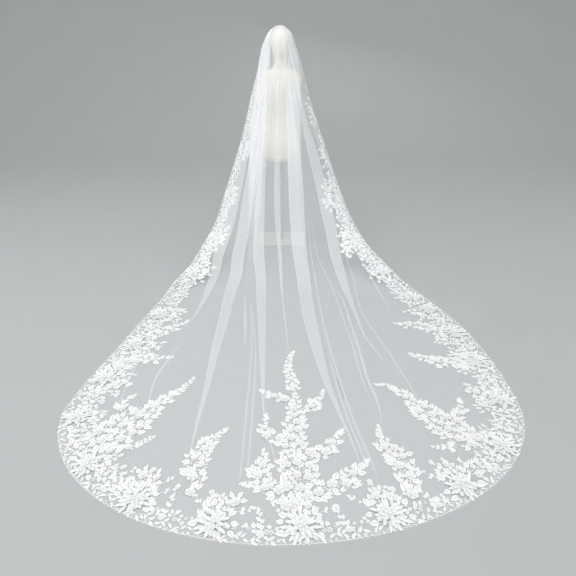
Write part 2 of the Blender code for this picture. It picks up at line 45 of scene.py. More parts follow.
Ring = namedtuple("Ring", "height half_width front back")
HEAD_WIDTH = 0.070
HEAD_DEPTH = 0.090
HEAD_HEIGHT = 0.117
HEAD_CENTRE = 1.585
BODY_BOTTOM = 0.735
TORSO_RINGS = [
    Ring(1.490, 0.0500, 0.0600, 0.0580),
    Ring(1.462, 0.0485, 0.0530, 0.0510),
    Ring(1.437, 0.0500, 0.0520, 0.0510),
    Ring(1.420, 0.0600, 0.0550, 0.0530),
    Ring(1.408, 0.0820, 0.0600, 0.0580),
    Ring(1.396, 0.1110, 0.0650, 0.0640),
    Ring(1.382, 0.1360, 0.0710, 0.0710),
    Ring(1.364, 0.1530, 0.0780, 0.0780),
    Ring(1.338, 0.1610, 0.0860, 0.0850),
    Ring(1.300, 0.1610, 0.1000, 0.0910),
    Ring(1.255, 0.1550, 0.1110, 0.0930),
    Ring(1.205, 0.1450, 0.1080, 0.0890),
    Ring(1.150, 0.1290, 0.0950, 0.0810),
    Ring(1.080, 0.1160, 0.0880, 0.0760),
    Ring(1.010, 0.1230, 0.0920, 0.0820),
    Ring(0.940, 0.1400, 0.0980, 0.0960),
    Ring(0.870, 0.1500, 0.1020, 0.1080),
    Ring(0.800, 0.1480, 0.1000, 0.1070),
    Ring(BODY_BOTTOM, 0.1350, 0.0900, 0.0960),
]
BODY_AROUND = 96
BODY_SOLE_Y = -0.003


def through(places, values, at):
    """What a smooth curve that runs through the values at their places comes to at a place."""
    places = np.asarray(places, float)
    values = np.asarray(values, float)
    at = np.clip(np.asarray(at, float), places[0], places[-1])
    slopes = np.gradient(values, places)
    low = np.clip(np.searchsorted(places, at, side="right") - 1, 0, len(places) - 2)
    span = places[low + 1] - places[low]
    f = (at - places[low]) / span
    return (
        (1 + 2 * f) * (1 - f) ** 2 * values[low]
        + f * (1 - f) ** 2 * span * slopes[low]
        + f * f * (3 - 2 * f) * values[low + 1]
        - f * f * (1 - f) * span * slopes[low + 1]
    )


def head_ring(degrees):
    """The ring of the egg-shaped head at an angle down from its crown."""
    angle = radians(degrees)
    return Ring(
        HEAD_CENTRE + HEAD_HEIGHT * cos(angle),
        HEAD_WIDTH * sin(angle),
        HEAD_DEPTH * sin(angle),
        HEAD_DEPTH * sin(angle),
    )


def body_rings():
    """The head's own curve down to the ears, then a smooth loft through neck and torso."""
    coarse = [head_ring(a) for a in np.linspace(9, 128, 10)[:-1]] + TORSO_RINGS
    fine = [head_ring(a) for a in np.linspace(2.5, 101.6, 34)]
    places = np.arange(len(coarse))
    for at in np.linspace(7.0, len(coarse) - 1, 118)[1:]:
        values = [through(places, [getattr(r, f) for r in coarse], at) for f in Ring._fields]
        fine.append(Ring(*map(float, values)))
    return fine


def mesh_piece(name, points, faces, finish):
    """A named mesh that rides on the part's one body, with its finish on."""
    mesh = bpy.data.meshes.new(name)
    mesh.from_pydata([tuple(map(float, p)) for p in points], [], [tuple(map(int, f)) for f in faces])
    mesh.shade_smooth()
    piece = bpy.data.objects.new(name, mesh)
    bpy.context.scene.collection.objects.link(piece)
    mesh.materials.append(finish)
    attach(piece, "root")
    return piece


def grid_faces(rows, columns, start=0, around=False, flip=False):
    """Faces of points laid out row by row; around also joins each row's last point to its first."""
    faces = []
    for r in range(rows - 1):
        here = start + r * columns
        for c in range(columns if around else columns - 1):
            a = here + c
            b = here + (c + 1) % columns
            faces.append((a, a + columns, b + columns, b) if flip else (a, b, b + columns, a + columns))
    return faces


class Finish:
    """A material made of nodes, with the looks that its shader has the same all over."""

    def __init__(self, name, **looks):
        self.material = bpy.data.materials.new(name)
        self.material.use_nodes = True
        self.nodes = self.material.node_tree.nodes
        self.shader = self.nodes["Principled BSDF"]
        self.fill(self.shader, looks)

    def fill(self, node, sockets):
        """Fills a node's sockets, each named with _ for a space."""
        for socket, value in sockets.items():
            self.put(node, socket.replace("_", " "), value)

    def put(self, node, socket, value):
        """Fills a node's socket with a number, or links another node's output to it."""
        if isinstance(value, bpy.types.NodeSocket):
            self.material.node_tree.links.new(value, node.inputs[socket])
        else:
            node.inputs[socket].default_value = value

    def node(self, kind, looks=None, **sockets):
        """A node of a kind, with its looks set and its sockets filled."""
        node = self.nodes.new("ShaderNode" + kind)
        for name, value in (looks or {}).items():
            setattr(node, name, value)
        self.fill(node, sockets)
        return node

    def sum(self, operation, *values, clamp=False):
        """The outcome of a sum over values and other nodes' outputs."""
        node = self.node("Math", {"operation": operation, "use_clamp": clamp})
        for socket, value in enumerate(values):
            self.put(node, socket, value)
        return node.outputs[0]

    def relief(self, height, strength, distance):
        """Raises the surface a little where the height is great."""
        bump = self.node("Bump", Height=height, Strength=strength, Distance=distance)
        self.put(self.shader, "Normal", bump.outputs["Normal"])

    def tones(self, drive, dark, light, low=0.0, high=1.0):
        """The colour goes from dark to light while the drive goes from low to high."""
        tone = self.node("ValToRGB", Fac=drive)
        for element, at, colour in zip(tone.color_ramp.elements, (low, high), (dark, light)):
            element.position = at
            element.color = (*colour, 1)
        self.put(self.shader, "Base Color", tone.outputs["Color"])


def jersey_finish():
    """Ivory stretch jersey: fine ribs of knit, and a soft unevenness where it stretches."""
    finish = Finish("ivory stretch jersey", Roughness=0.85, Sheen_Weight=0.25, Sheen_Roughness=0.5)
    place = finish.node("TexCoord").outputs["Object"]
    along = {"bands_direction": "X"}
    ribs = finish.node("TexWave", along, Vector=place, Scale=320, Distortion=1.5, Detail=2)
    loops = finish.node("TexWave", {"bands_direction": "Z"}, Vector=place, Scale=420, Distortion=2)
    stretch = finish.node("TexNoise", Vector=place, Scale=9, Detail=4)
    knit = finish.sum("MULTIPLY", ribs.outputs["Fac"], loops.outputs["Fac"])
    finish.relief(knit, 0.35, 0.0004)
    finish.tones(stretch.outputs["Fac"], (0.82, 0.80, 0.725), (0.90, 0.885, 0.815))
    return finish.material


def turned(name, profile, around, finish, ends=None, centre=(0, 0), flip=False):
    """A piece of ovals, each (half width, front, back, height), closed to its two end points.

    Without end points the last oval is joined to the first, as in a ring.
    """
    points = []
    for wide, front, back, height in profile:
        for k in range(around):
            turn = 2 * pi * k / around
            deep = front if sin(turn) > 0 else back
            points.append((centre[0] + wide * cos(turn), centre[1] + deep * sin(turn), height))
    faces = grid_faces(len(profile), around, around=True, flip=flip)
    top = len(points) - around
    first = len(points)
    for k in range(around):
        a, b = (k, (k + 1) % around)[:: -1 if flip else 1]
        if ends:
            faces += [(first, b, a), (first + 1, top + a, top + b)]
        else:
            faces.append((top + a, top + b, b, a))
    return mesh_piece(name, [*points, *(ends or ())], faces, finish)


body = turned(
    "padded_body",
    [(ring.half_width, ring.front, ring.back, ring.height) for ring in body_rings()],
    BODY_AROUND,
    jersey_finish(),
    ends=[(0, 0, HEAD_CENTRE + HEAD_HEIGHT), (0, BODY_SOLE_Y, BODY_BOTTOM)],
    flip=True,
)
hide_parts("form_body")

# ---- Lower rim of the form ----
# The shaped cap that closes the shell under the hips. Moulded board with a rolled edge, covered
# in satin white powder coat, and screwed up from below.

SEAM = 0.0003
RIM_HALF_WIDTH = 0.130
RIM_HALF_DEPTH = 0.088
RIM_CENTRE_Y = -0.003
RIM_THICKNESS = 0.012
RIM_EDGE = 0.0035


def coat_finish(name, dark, light):
    """Satin powder coat: a fine orange peel and a little unevenness in its tone and gloss."""
    finish = Finish(name)
    place = finish.node("TexCoord").outputs["Object"]
    peel = finish.node("TexNoise", Vector=place, Scale=700, Detail=3)
    wear = finish.node("TexNoise", Vector=place, Scale=14, Detail=5)
    gloss = finish.node("MapRange", Value=wear.outputs["Fac"], To_Min=0.30, To_Max=0.44)
    finish.put(finish.shader, "Roughness", gloss.outputs["Result"])
    finish.relief(peel.outputs["Fac"], 0.18, 0.0003)
    finish.tones(wear.outputs["Fac"], dark, light)
    return finish.material


def rolled_edge(wide, deep, low, high, edge, steps=4):
    """The ovals of a disc with both its edges rounded."""
    turns = [0.5 * pi * i / steps for i in range(steps + 1)]
    rings = [(3 * edge, low)]
    rings += [(edge * (1 - sin(turn)), low + edge * (1 - cos(turn))) for turn in turns]
    rings += [(edge * (1 - cos(turn)), high - edge * (1 - sin(turn))) for turn in turns]
    rings.append((3 * edge, high))
    return [(wide - inset, deep - inset, deep - inset, height) for inset, height in rings]


rim_top = BODY_BOTTOM - SEAM
rim = turned(
    "lower_rim",
    rolled_edge(RIM_HALF_WIDTH, RIM_HALF_DEPTH, rim_top - RIM_THICKNESS, rim_top, RIM_EDGE),
    BODY_AROUND,
    coat_finish("satin white powder coat", (0.82, 0.82, 0.81), (0.87, 0.87, 0.86)),
    ends=[(0, RIM_CENTRE_Y, rim_top - RIM_THICKNESS), (0, RIM_CENTRE_Y, rim_top)],
    centre=(0, RIM_CENTRE_Y),
)
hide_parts("form_rim")

# ---- Stand: pole, collar and base plate ----
# A straight steel tube from the base plate up to the rim, a turned collar clamped on it, and a
# flat steel plate with rounded corners that lies on the floor. All powder coated pale grey.

POLE_RADIUS = 0.0125
POLE_EDGE = 0.0008
POLE_AROUND = 48
COLLAR_RADIUS = 0.021
COLLAR_LENGTH = 0.034
COLLAR_HEIGHT = 0.62
BASE_WIDTH = 0.42
BASE_DEPTH = 0.30
BASE_THICKNESS = 0.006
BASE_CORNER = 0.035
BASE_EDGE = 0.0012
BASE_INSIDE = 0.020  # the last outline on top, well inside the rounded edge

STAND_COAT = coat_finish("satin pale grey powder coat", (0.55, 0.55, 0.545), (0.60, 0.60, 0.595))

pole_low = BASE_THICKNESS + SEAM
pole_high = rim_top - RIM_THICKNESS - SEAM
pole = turned(
    "pole",
    rolled_edge(POLE_RADIUS, POLE_RADIUS, pole_low, pole_high, POLE_EDGE, 2),
    POLE_AROUND,
    STAND_COAT,
    ends=[(0, 0, pole_low), (0, 0, pole_high)],
)
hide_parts("stand_pole")

collar_section = []
for turn in np.linspace(0, 2 * pi, 25)[:-1]:
    across = (COLLAR_RADIUS - POLE_RADIUS - SEAM) / 2
    middle = POLE_RADIUS + SEAM + across
    radius = middle + across * np.sign(cos(turn)) * abs(cos(turn)) ** 0.35
    height = COLLAR_HEIGHT + COLLAR_LENGTH / 2 * np.sign(sin(turn)) * abs(sin(turn)) ** 0.25
    collar_section.append((radius, radius, radius, height))
collar = turned("collar", collar_section, POLE_AROUND, STAND_COAT)
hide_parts("stand_collar")


def base_plate():
    """The plate, as levels of one rounded outline that step in over its edges."""
    outline = []
    for i, (sx, sy) in enumerate([(1, 1), (-1, 1), (-1, -1), (1, -1)]):
        middle = np.array([sx * (BASE_WIDTH / 2 - BASE_CORNER), sy * (BASE_DEPTH / 2 - BASE_CORNER)])
        for k in range(9):
            turn = 0.5 * pi * (i + k / 8)
            outline.append((middle, np.array([cos(turn), sin(turn)])))
    levels = [
        (BASE_EDGE, 0.0),
        (0.0, BASE_EDGE),
        (0.0, BASE_THICKNESS - BASE_EDGE),
        (BASE_EDGE * 0.3, BASE_THICKNESS - BASE_EDGE * 0.3),
        (BASE_EDGE, BASE_THICKNESS),
        (BASE_INSIDE, BASE_THICKNESS),
    ]
    points = []
    for inset, height in levels:
        points += [(*(middle + (BASE_CORNER - inset) * out), height) for middle, out in outline]
    faces = grid_faces(len(levels), len(outline), around=True)
    faces.append(tuple(range(len(outline)))[::-1])
    faces.append(tuple(range(len(points) - len(outline), len(points))))
    return mesh_piece("base_plate", points, faces, STAND_COAT)


base = base_plate()
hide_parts("stand_base")

# ---- Comb ----
# A curved comb moulded in milky clear plastic, with twelve tapered teeth. It is pushed in over
# the crown of the head, and the gathered top edge of the net is sewn along its spine.

COMB_THICKNESS = 0.0020
COMB_TEETH = 12
COMB_HALF_ANGLE = 33  # these angles are in degrees from the crown
COMB_SPINE = (3, 9)
COMB_TIPS = 32


def ramp(low, high, at):
    """0 below low, 1 above high, smooth between."""
    f = np.clip((at - low) / (high - low), 0, 1)
    return f * f * (3 - 2 * f)


def unit(vectors):
    """Vectors of the same direction, each one unit long."""
    return vectors / np.maximum(np.linalg.norm(vectors, axis=-1, keepdims=True), 1e-12)


def on_head(side, back, lift):
    """A point over the head, lift above it: side and back are degrees from the crown."""
    side = radians(side)
    back = radians(back)
    reach = np.array([sin(side), -cos(side) * sin(back), cos(side) * cos(back)])
    axes = np.array([HEAD_WIDTH, HEAD_DEPTH, HEAD_HEIGHT])
    return axes * reach + unit(reach / axes) * lift + (0, 0, HEAD_CENTRE)


def comb_finish():
    """Milky plastic: light passes a little into it, and the mould has left it slightly wavy."""
    finish = Finish(
        "milky clear plastic",
        Roughness=0.28,
        Subsurface_Weight=0.3,
        Subsurface_Radius=(0.004, 0.004, 0.004),
        Subsurface_Scale=1.0,
    )
    place = finish.node("TexCoord").outputs["Object"]
    mould = finish.node("TexNoise", Vector=place, Scale=90).outputs["Fac"]
    finish.relief(mould, 0.1, 0.0004)
    finish.tones(mould, (0.80, 0.80, 0.79), (0.88, 0.88, 0.87))
    return finish.material


def hair_comb():
    """The spine is a curved strip, and each tooth carries four of its points down to a tip."""
    columns = np.linspace(-COMB_HALF_ANGLE, COMB_HALF_ANGLE, 2 * COMB_TEETH)
    spine_columns = np.linspace(-COMB_HALF_ANGLE, COMB_HALF_ANGLE, 6 * COMB_TEETH - 2)
    width = len(spine_columns)
    points = []
    for back in np.linspace(*COMB_SPINE, 4):
        points += [on_head(side, back, 2 * SEAM) for side in spine_columns]
    faces = grid_faces(4, width, flip=True)
    for tooth in range(COMB_TEETH):
        low, high = columns[2 * tooth], columns[2 * tooth + 1]
        above = [3 * width + 6 * tooth + i for i in range(4)]
        for back in np.linspace(COMB_SPINE[1], COMB_TIPS, 9)[1:]:
            down = (back - COMB_SPINE[1]) / (COMB_TIPS - COMB_SPINE[1])
            half = (high - low) / 2 * (1 - 0.45 * down) * (1 - 0.7 * ramp(0.85, 1.0, down))
            here = [len(points) + i for i in range(4)]
            for share in np.linspace(-1, 1, 4):
                points.append(on_head((low + high) / 2 + half * share, back, 2 * SEAM))
            faces += [(above[i], here[i], here[i + 1], above[i + 1]) for i in range(3)]
            above = here
    piece = mesh_piece("hair_comb", points, faces, comb_finish())
    wall = piece.modifiers.new("wall", "SOLIDIFY")
    wall.thickness = COMB_THICKNESS
    wall.offset = 1
    return piece


comb = hair_comb()
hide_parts("comb")

# ---- Net of the veil ----
# One panel of fine soft white net, cut about 4.0 m long and 3.0 m wide with rounded lower
# corners. Its top is gathered tightly and sewn to the comb; it hangs in soft pleats and its
# train is spread on the floor, where the pleats run out into thin creases.

TULLE = 0.0012
FLOOR = TULLE / 2
HEAD_CLEARANCE = 2 * SEAM + COMB_THICKNESS + SEAM + TULLE / 2
# A station is a line across the veil: its middle, its two edges, how far each half reaches out
# and how many degrees it wraps round. They are numbered from 0 at the comb to HEM.
Station = namedtuple(
    "Station", "centre_y centre_z left_y right_y edge_z left_half right_half left_wrap right_wrap"
)
STATIONS = [Station(*row) for row in [
    (-0.006, 1.7068, -0.004, -0.004, 1.698, 0.036, 0.032, 90, 90),
    (-0.074, 1.684, -0.006, -0.006, 1.664, 0.072, 0.064, 90, 90),
    (-0.113, 1.636, 0.004, 0.004, 1.614, 0.105, 0.096, 90, 90),
    (-0.128, 1.570, 0.018, 0.026, 1.550, 0.135, 0.115, 88, 96),
    (-0.140, 1.480, 0.030, 0.060, 1.460, 0.164, 0.140, 78, 110),
    (-0.150, 1.380, 0.030, 0.105, 1.360, 0.197, 0.170, 70, 122),
    (-0.165, 1.250, 0.020, 0.125, 1.240, 0.243, 0.205, 66, 129),
    (-0.190, 1.080, -0.010, 0.115, 1.070, 0.293, 0.262, 66, 128),
    (-0.235, 0.880, -0.060, 0.070, 0.870, 0.348, 0.335, 69, 121),
    (-0.300, 0.660, -0.120, 0.000, 0.660, 0.414, 0.415, 75, 109),
    (-0.385, 0.450, -0.200, -0.135, 0.460, 0.476, 0.495, 81, 97),
    (-0.490, 0.270, -0.318, -0.300, 0.280, 0.543, 0.588, 86, 92),
    (-0.620, 0.130, -0.450, -0.450, 0.150, 0.635, 0.690, 90, 90),
    (-0.800, 0.042, -0.600, -0.600, 0.055, 0.715, 0.815, 90, 90),
    (-1.020, FLOOR, -0.820, -0.820, 0.008, 0.820, 0.925, 90, 90),
    (-1.350, FLOOR, -1.070, -1.070, FLOOR, 0.872, 1.040, 90, 90),
    (-1.720, FLOOR, -1.350, -1.350, FLOOR, 0.950, 1.158, 90, 90),
    (-2.100, FLOOR, -1.620, -1.600, FLOOR, 1.015, 1.222, 90, 90),
    (-2.450, FLOOR, -1.870, -1.830, FLOOR, 1.085, 1.252, 90, 90),
    (-2.750, FLOOR, -2.050, -1.980, FLOOR, 1.128, 1.262, 90, 90),
    (-2.980, FLOOR, -2.180, -2.140, FLOOR, 1.150, 1.262, 90, 90),
]]
HEM = len(STATIONS) - 1


def veil_form(station, share):
    """The hanging form without pleats: share runs from -1, the left edge, to 1, the right."""
    station, share = np.broadcast_arrays(np.asarray(station, float), np.asarray(share, float))
    place = range(HEM + 1)
    read = {f: through(place, [getattr(s, f) for s in STATIONS], station) for f in Station._fields}
    on_left = share < 0
    half = np.where(on_left, read["left_half"], read["right_half"])
    edge_y = np.where(on_left, read["left_y"], read["right_y"])
    wrap = np.radians(np.where(on_left, read["left_wrap"], read["right_wrap"]))
    forward = (1 - np.cos(share * wrap)) / (1 - np.cos(wrap))
    return np.stack(
        [
            half * np.sin(share * wrap),
            read["centre_y"] + (edge_y - read["centre_y"]) * forward,
            np.maximum(read["centre_z"] + (read["edge_z"] - read["centre_z"]) * forward, FLOOR),
        ],
        axis=-1,
    )


def outward(station, share):
    """The net's outer side: away from the form, and up on the train."""
    step = 0.01
    up = np.clip(station - step, 0, HEM - 2 * step)
    along = veil_form(up + 2 * step, share) - veil_form(up, share)
    across = veil_form(station, share + step) - veil_form(station, share - step)
    return unit(np.cross(along, across))


def off_the_head(points):
    """Moves points that would come too near the head out to its clearance."""
    centre = np.array([0, 0, HEAD_CENTRE])
    axes = np.array([HEAD_WIDTH, HEAD_DEPTH, HEAD_HEIGHT]) + HEAD_CLEARANCE
    reach = (points - centre) / axes
    depth = np.linalg.norm(reach, axis=-1, keepdims=True)
    return np.where(depth < 1, centre + reach / np.maximum(depth, 0.1) * axes, points)


# Each pleat or crease is a soft Z of three layers, and each line a thin pinched ridge. The rows
# give the station, and the middle and half width in thousandths of the way to the side edge.
PLEATS = {
    "outer left pleat": [
        (1.2, -740, 30), (3.95, -815, 55), (6.35, -722, 56), (8.5, -668, 64), (9.95, -640, 86),
        (11.9, -568, 66), (14.4, -463, 17), (15.3, -494, 3), (16.2, -620, 0), (16.7, -654, 7),
        (17.5, -620, 6), (18.0, -600, 0),
    ],
    "left crease on the train": [
        (1.2, -680, 0), (3.95, -736, 0), (6.3, -639, 0), (8.4, -578, 0), (9.9, -528, 0),
        (12.0, -450, 0), (14.4, -420, 0), (15.7, -462, 0), (16.2, -478, 7), (16.93, -504, 8),
        (17.48, -482, 5), (17.9, -470, 0),
    ],
    "left pleat": [
        (1.2, -570, 30), (3.94, -621, 93), (6.3, -540, 80), (8.4, -484, 77), (9.85, -437, 81),
        (13.6, -313, 43), (15.3, -294, 28), (16.76, -276, 14), (18.1, -265, 4), (18.5, -262, 0),
    ],
    "short left crease": [
        (1.2, -480, 0), (3.95, -506, 0), (6.3, -430, 0), (8.4, -385, 0), (9.85, -351, 0),
        (12.5, -235, 0), (13.9, -212, 0), (14.3, -203, 8), (15.3, -174, 9), (15.9, -157, 0),
    ],
    "far line of the left bundle": [
        (1.2, -450, 0), (3.95, -499, 0), (6.3, -420, 0), (8.4, -374, 0), (9.85, -343, 0),
        (12.5, -226, 0), (13.9, -186, 0), (14.9, -154, 3), (15.8, -130, 3), (17.1, -118, 3),
        (18.5, -112, 2), (18.8, -112, 0),
    ],
    "near line of the left bundle": [
        (1.2, -430, 0), (3.95, -493, 0), (6.3, -411, 0), (8.4, -365, 0), (9.85, -336, 0),
        (12.5, -218, 0), (13.9, -172, 0), (15.3, -130, 2), (16.0, -110, 3), (17.2, -98, 3),
        (18.4, -94, 2), (18.7, -94, 0),
    ],
    "inner left pleat": [
        (1.2, -370, 30), (3.94, -413, 71), (6.25, -322, 80), (8.35, -300, 55), (9.1, -280, 52),
        (9.8, -262, 64), (13.5, -130, 34), (15.2, -96, 21), (16.65, -72, 10), (17.2, -64, 5),
        (17.9, -38, 4), (18.5, -14, 3), (18.8, -6, 0),
    ],
    "centre pleat": [
        (1.2, -80, 28), (3.94, -83, 49), (6.25, -77, 52), (8.35, -63, 47), (9.8, -52, 39),
        (11.74, -18, 18), (14.06, 2, 6), (15.8, 20, 3), (16.4, 24, 0),
    ],
    "inner right pleat": [
        (1.2, 160, 32), (3.94, 142, 58), (6.25, 134, 57), (8.35, 143, 75), (9.8, 147, 79),
        (12.95, 127, 43), (15.3, 116, 28), (16.67, 131, 13), (17.25, 148, 9), (18.3, 180, 3),
        (18.7, 186, 0),
    ],
    "near line of the right bundle": [
        (1.2, 212, 0), (3.94, 209, 0), (6.3, 198, 0), (8.4, 226, 0), (9.85, 236, 0), (12.0, 202, 0),
        (14.0, 170, 0), (15.7, 154, 0), (16.8, 162, 3), (17.6, 175, 3), (18.4, 197, 2),
        (18.7, 202, 0),
    ],
    "far line of the right bundle": [
        (1.2, 224, 0), (3.94, 217, 0), (6.3, 204, 0), (8.4, 234, 0), (9.85, 248, 0), (12.0, 216, 2),
        (14.0, 182, 3), (15.7, 165, 3), (16.4, 170, 3), (17.6, 189, 3), (18.6, 216, 2),
        (18.9, 222, 0),
    ],
    "second line beside the right crease": [
        (1.2, 240, 0), (3.94, 229, 0), (6.3, 212, 0), (8.4, 246, 0), (9.85, 274, 0), (12.0, 264, 2),
        (13.7, 276, 3), (14.8, 262, 3), (15.6, 252, 3), (16.75, 245, 2), (17.3, 250, 0),
    ],
    "right crease on the train": [
        (1.2, 270, 0), (3.94, 246, 0), (6.3, 224, 0), (8.4, 261, 0), (9.85, 298, 0), (12.0, 285, 0),
        (13.7, 296, 0), (14.1, 299, 6), (15.4, 276, 7), (16.75, 262, 7), (17.4, 270, 5),
        (17.9, 262, 0),
    ],
    "right pleat": [
        (1.2, 400, 28), (3.94, 339, 44), (6.27, 311, 51), (8.4, 378, 75), (9.9, 459, 88),
        (13.3, 364, 32), (14.98, 323, 8), (15.64, 314, 6), (16.3, 336, 4), (16.6, 342, 0),
    ],
    "line beside the right pleat": [
        (1.2, 520, 0), (3.94, 450, 0), (6.3, 430, 0), (8.4, 505, 0), (9.9, 590, 0), (12.0, 510, 2),
        (13.3, 440, 3), (14.9, 362, 3), (15.6, 366, 3), (16.4, 380, 3), (17.2, 398, 2),
        (17.6, 404, 0),
    ],
    "outer right pleat": [
        (1.2, 700, 20), (3.94, 638, 33), (6.3, 619, 30), (8.4, 628, 25), (10.0, 681, 19),
        (12.5, 620, 14), (14.2, 546, 8), (15.0, 520, 0),
    ],
}
PLAIN_COLUMNS = [16, 6, 7, 7, 3, 2, 4, 13, 12, 3, 2, 2, 3, 5, 9, 9, 22]
PLEAT_COLUMNS = 17
PLEAT_HEIGHT = 0.0041
PLEAT_LEAST = 0.0045  # share that an unfolded pleat's own columns take up
PLEAT_REACH = 1.525  # how far a fold stands out from the middle, in quarters of the pleat
PLEAT_TURN = 0.449  # where along the Z its folds are
PLEAT_TURN_SPREAD = 0.06
PLEAT_BLUR = (-0.30, -0.15, 0.0, 0.15, 0.30)
LINE_HEIGHT = 0.0024
LINE_LEAST = 0.0012
LINE_FOOT = 1.6
LINE_PINCH = 0.6
OPEN_SHARE = 0.82  # of the light that one layer of net lets through
CUT_HALF_WIDTH = 1.5
ROWS = np.concatenate(
    [np.linspace(0, 3, 37)[:-1], np.linspace(3, 15, 126)[:-1], np.linspace(15, HEM, 91)]
)


def pleat_width(places, halves, station):
    """A pleat's half width along the veil, smooth and never below nothing."""
    return float(np.mean([np.interp(station + blur, places, halves) for blur in PLEAT_BLUR]))


def net_row(station):
    """Each column's share, its lift, how near it is to a pleat's turn, and the layers there."""
    columns = [(-1.0, 0.0, 0.0, 1.0)]

    def plain(count, end):
        """Even columns of unfolded net, up to where the next fold starts."""
        start, lift = columns[-1][:2]
        for f in np.arange(1, count + 1) / (count + 1):
            columns.append((start + (end - start) * f, lift * (1 - ramp(0, 0.85, f)), 0.0, 1.0))

    for count, (name, rows) in zip(PLAIN_COLUMNS, PLEATS.items()):
        places, middles, halves = np.array(rows).T / [[1], [1000], [1000]]
        middle = float(through(places, middles, station))
        if "line" in name:
            half = float(np.interp(station, places, halves))
            plain(count, middle - LINE_FOOT * (LINE_LEAST + half))
            for v in (-LINE_FOOT, -LINE_PINCH, 0.0, LINE_PINCH, LINE_FOOT):
                share = middle + (LINE_LEAST + half) * v
                pinch = np.exp(-((v / LINE_PINCH) ** 2)) * float(ramp(0.0, 0.002, half))
                columns.append((share, LINE_HEIGHT * pinch, 0.75 * pinch, 1.0))
            continue
        half = pleat_width(places, halves, station) * float(ramp(0.3, 2.2, station))
        quarter = half / PLEAT_REACH
        height = PLEAT_HEIGHT * float(ramp(0.0, 0.010, half))
        plain(count, middle - quarter - PLEAT_LEAST)
        for v in np.linspace(-1, 1, PLEAT_COLUMNS):
            share = middle + (quarter + PLEAT_LEAST) * v - 2 * quarter * sin(pi * v)
            near = np.exp(-(((abs(v) - PLEAT_TURN) / PLEAT_TURN_SPREAD) ** 2))
            near = near * float(ramp(0.0, 0.004, half))
            stacked = 1.0 + 2.0 * float(ramp(0.0, 0.020, half))
            columns.append((share, height * (1 + sin(pi * v / 2)), near, stacked))
    plain(PLAIN_COLUMNS[-1], 1.0)
    columns.append((1.0, 0.0, 0.0, 1.0))
    return np.array(columns).T


def gathers(station, share):
    """Fine gathers from the comb, and the softer waves that they open into lower down."""
    fine = 0.0011 * (1 - ramp(3.5, 6.5, station)) * (0.35 + 0.65 * ramp(0, 1.0, station))
    fine = fine * (1 + 0.5 * np.cos(9.7 * share + 1.0))
    wave = np.cos(2 * pi * 17 * share + 1.3 * np.sin(5 * share + 0.3 * station))
    wave = wave + 0.5 * np.cos(2 * pi * 29 * share + 0.8 * station)
    soft = 0.0016 * ramp(2.0, 5.0, station) * (1 - ramp(9.0, 13.0, station))
    swell = np.cos(2 * pi * 7.3 * share + 0.35 * station + 0.7)
    swell = swell + 0.6 * np.cos(2 * pi * 12.1 * share - 0.25 * station)
    edge = ramp(0, 0.06, 1 - np.abs(share))
    return edge * (fine * (1.5 + wave) + soft * (1.6 + swell))


# Where the gathers lie thickest: each band's rows give the station, the band's two edges in
# millimetres from the middle, and how many more layers it has.
BANDS = {
    "left of the head and body": [
        (0.0, -60, -30, 2.0), (2.0, -150, -72, 4.5), (3.0, -150, -78, 4.8), (4.0, -175, -78, 5.5),
        (5.0, -190, -105, 7.5), (6.0, -200, -105, 8.0), (7.0, -225, -110, 7.5),
        (8.0, -245, -128, 6.0), (9.0, -250, -150, 4.0), (10.0, -255, -165, 2.2),
        (11.0, -262, -185, 1.0), (12.5, -275, -200, 0.4), (14.0, -290, -215, 0.0),
    ],
    "over the back": [
        (3.5, -50, 30, 0.0), (5.0, -90, 40, 0.4), (7.0, -110, 40, 0.7), (8.2, -110, 45, 0.6),
        (8.8, -130, 45, 0.0),
    ],
    "right of the head and body": [
        (0.0, 30, 60, 2.0), (2.0, 58, 110, 4.0), (3.0, 58, 120, 4.6), (4.0, 56, 125, 4.8),
        (5.0, 50, 140, 4.6), (6.0, 46, 145, 6.0), (7.0, 44, 148, 5.0), (8.0, 46, 152, 3.5),
        (9.0, 52, 158, 1.8), (10.0, 60, 165, 1.0), (11.5, 70, 175, 0.5), (13.0, 80, 190, 0.0),
    ],
}


def packing(station, share, across, turned_over, stacked):
    """How many layers of net lie together: in the tight gathers, and at the turns of a pleat."""
    layers = 1 + 2.2 * (1 - ramp(0.0, 2.0, station)) + 0.9 * (1 - ramp(3.0, 10.0, station))
    for rows in BANDS.values():
        places, lefts, rights, added = np.array(rows).T / [[1], [1000], [1000], [1]]
        low = float(through(places, lefts, station))
        high = float(through(places, rights, station))
        inside = ramp(low - 0.010, low + 0.010, across) * (1 - ramp(high - 0.010, high + 0.010, across))
        layers = layers + float(np.interp(station, places, added)) * inside
    streak = 0.86
    for deep, waves, start in ((0.16, 5.3, 0.5), (0.16, 11.9, 0.15 * station), (0.20, 23.3, 1.0)):
        streak = streak + deep * np.cos(2 * pi * waves * share + start)
    streak = np.clip(streak, 0.35, 1.5)
    plain = ramp(8.0, 12.0, station)
    return 1 + (layers - 1) * (streak * (1 - plain) + plain) / stacked + 3.2 * turned_over


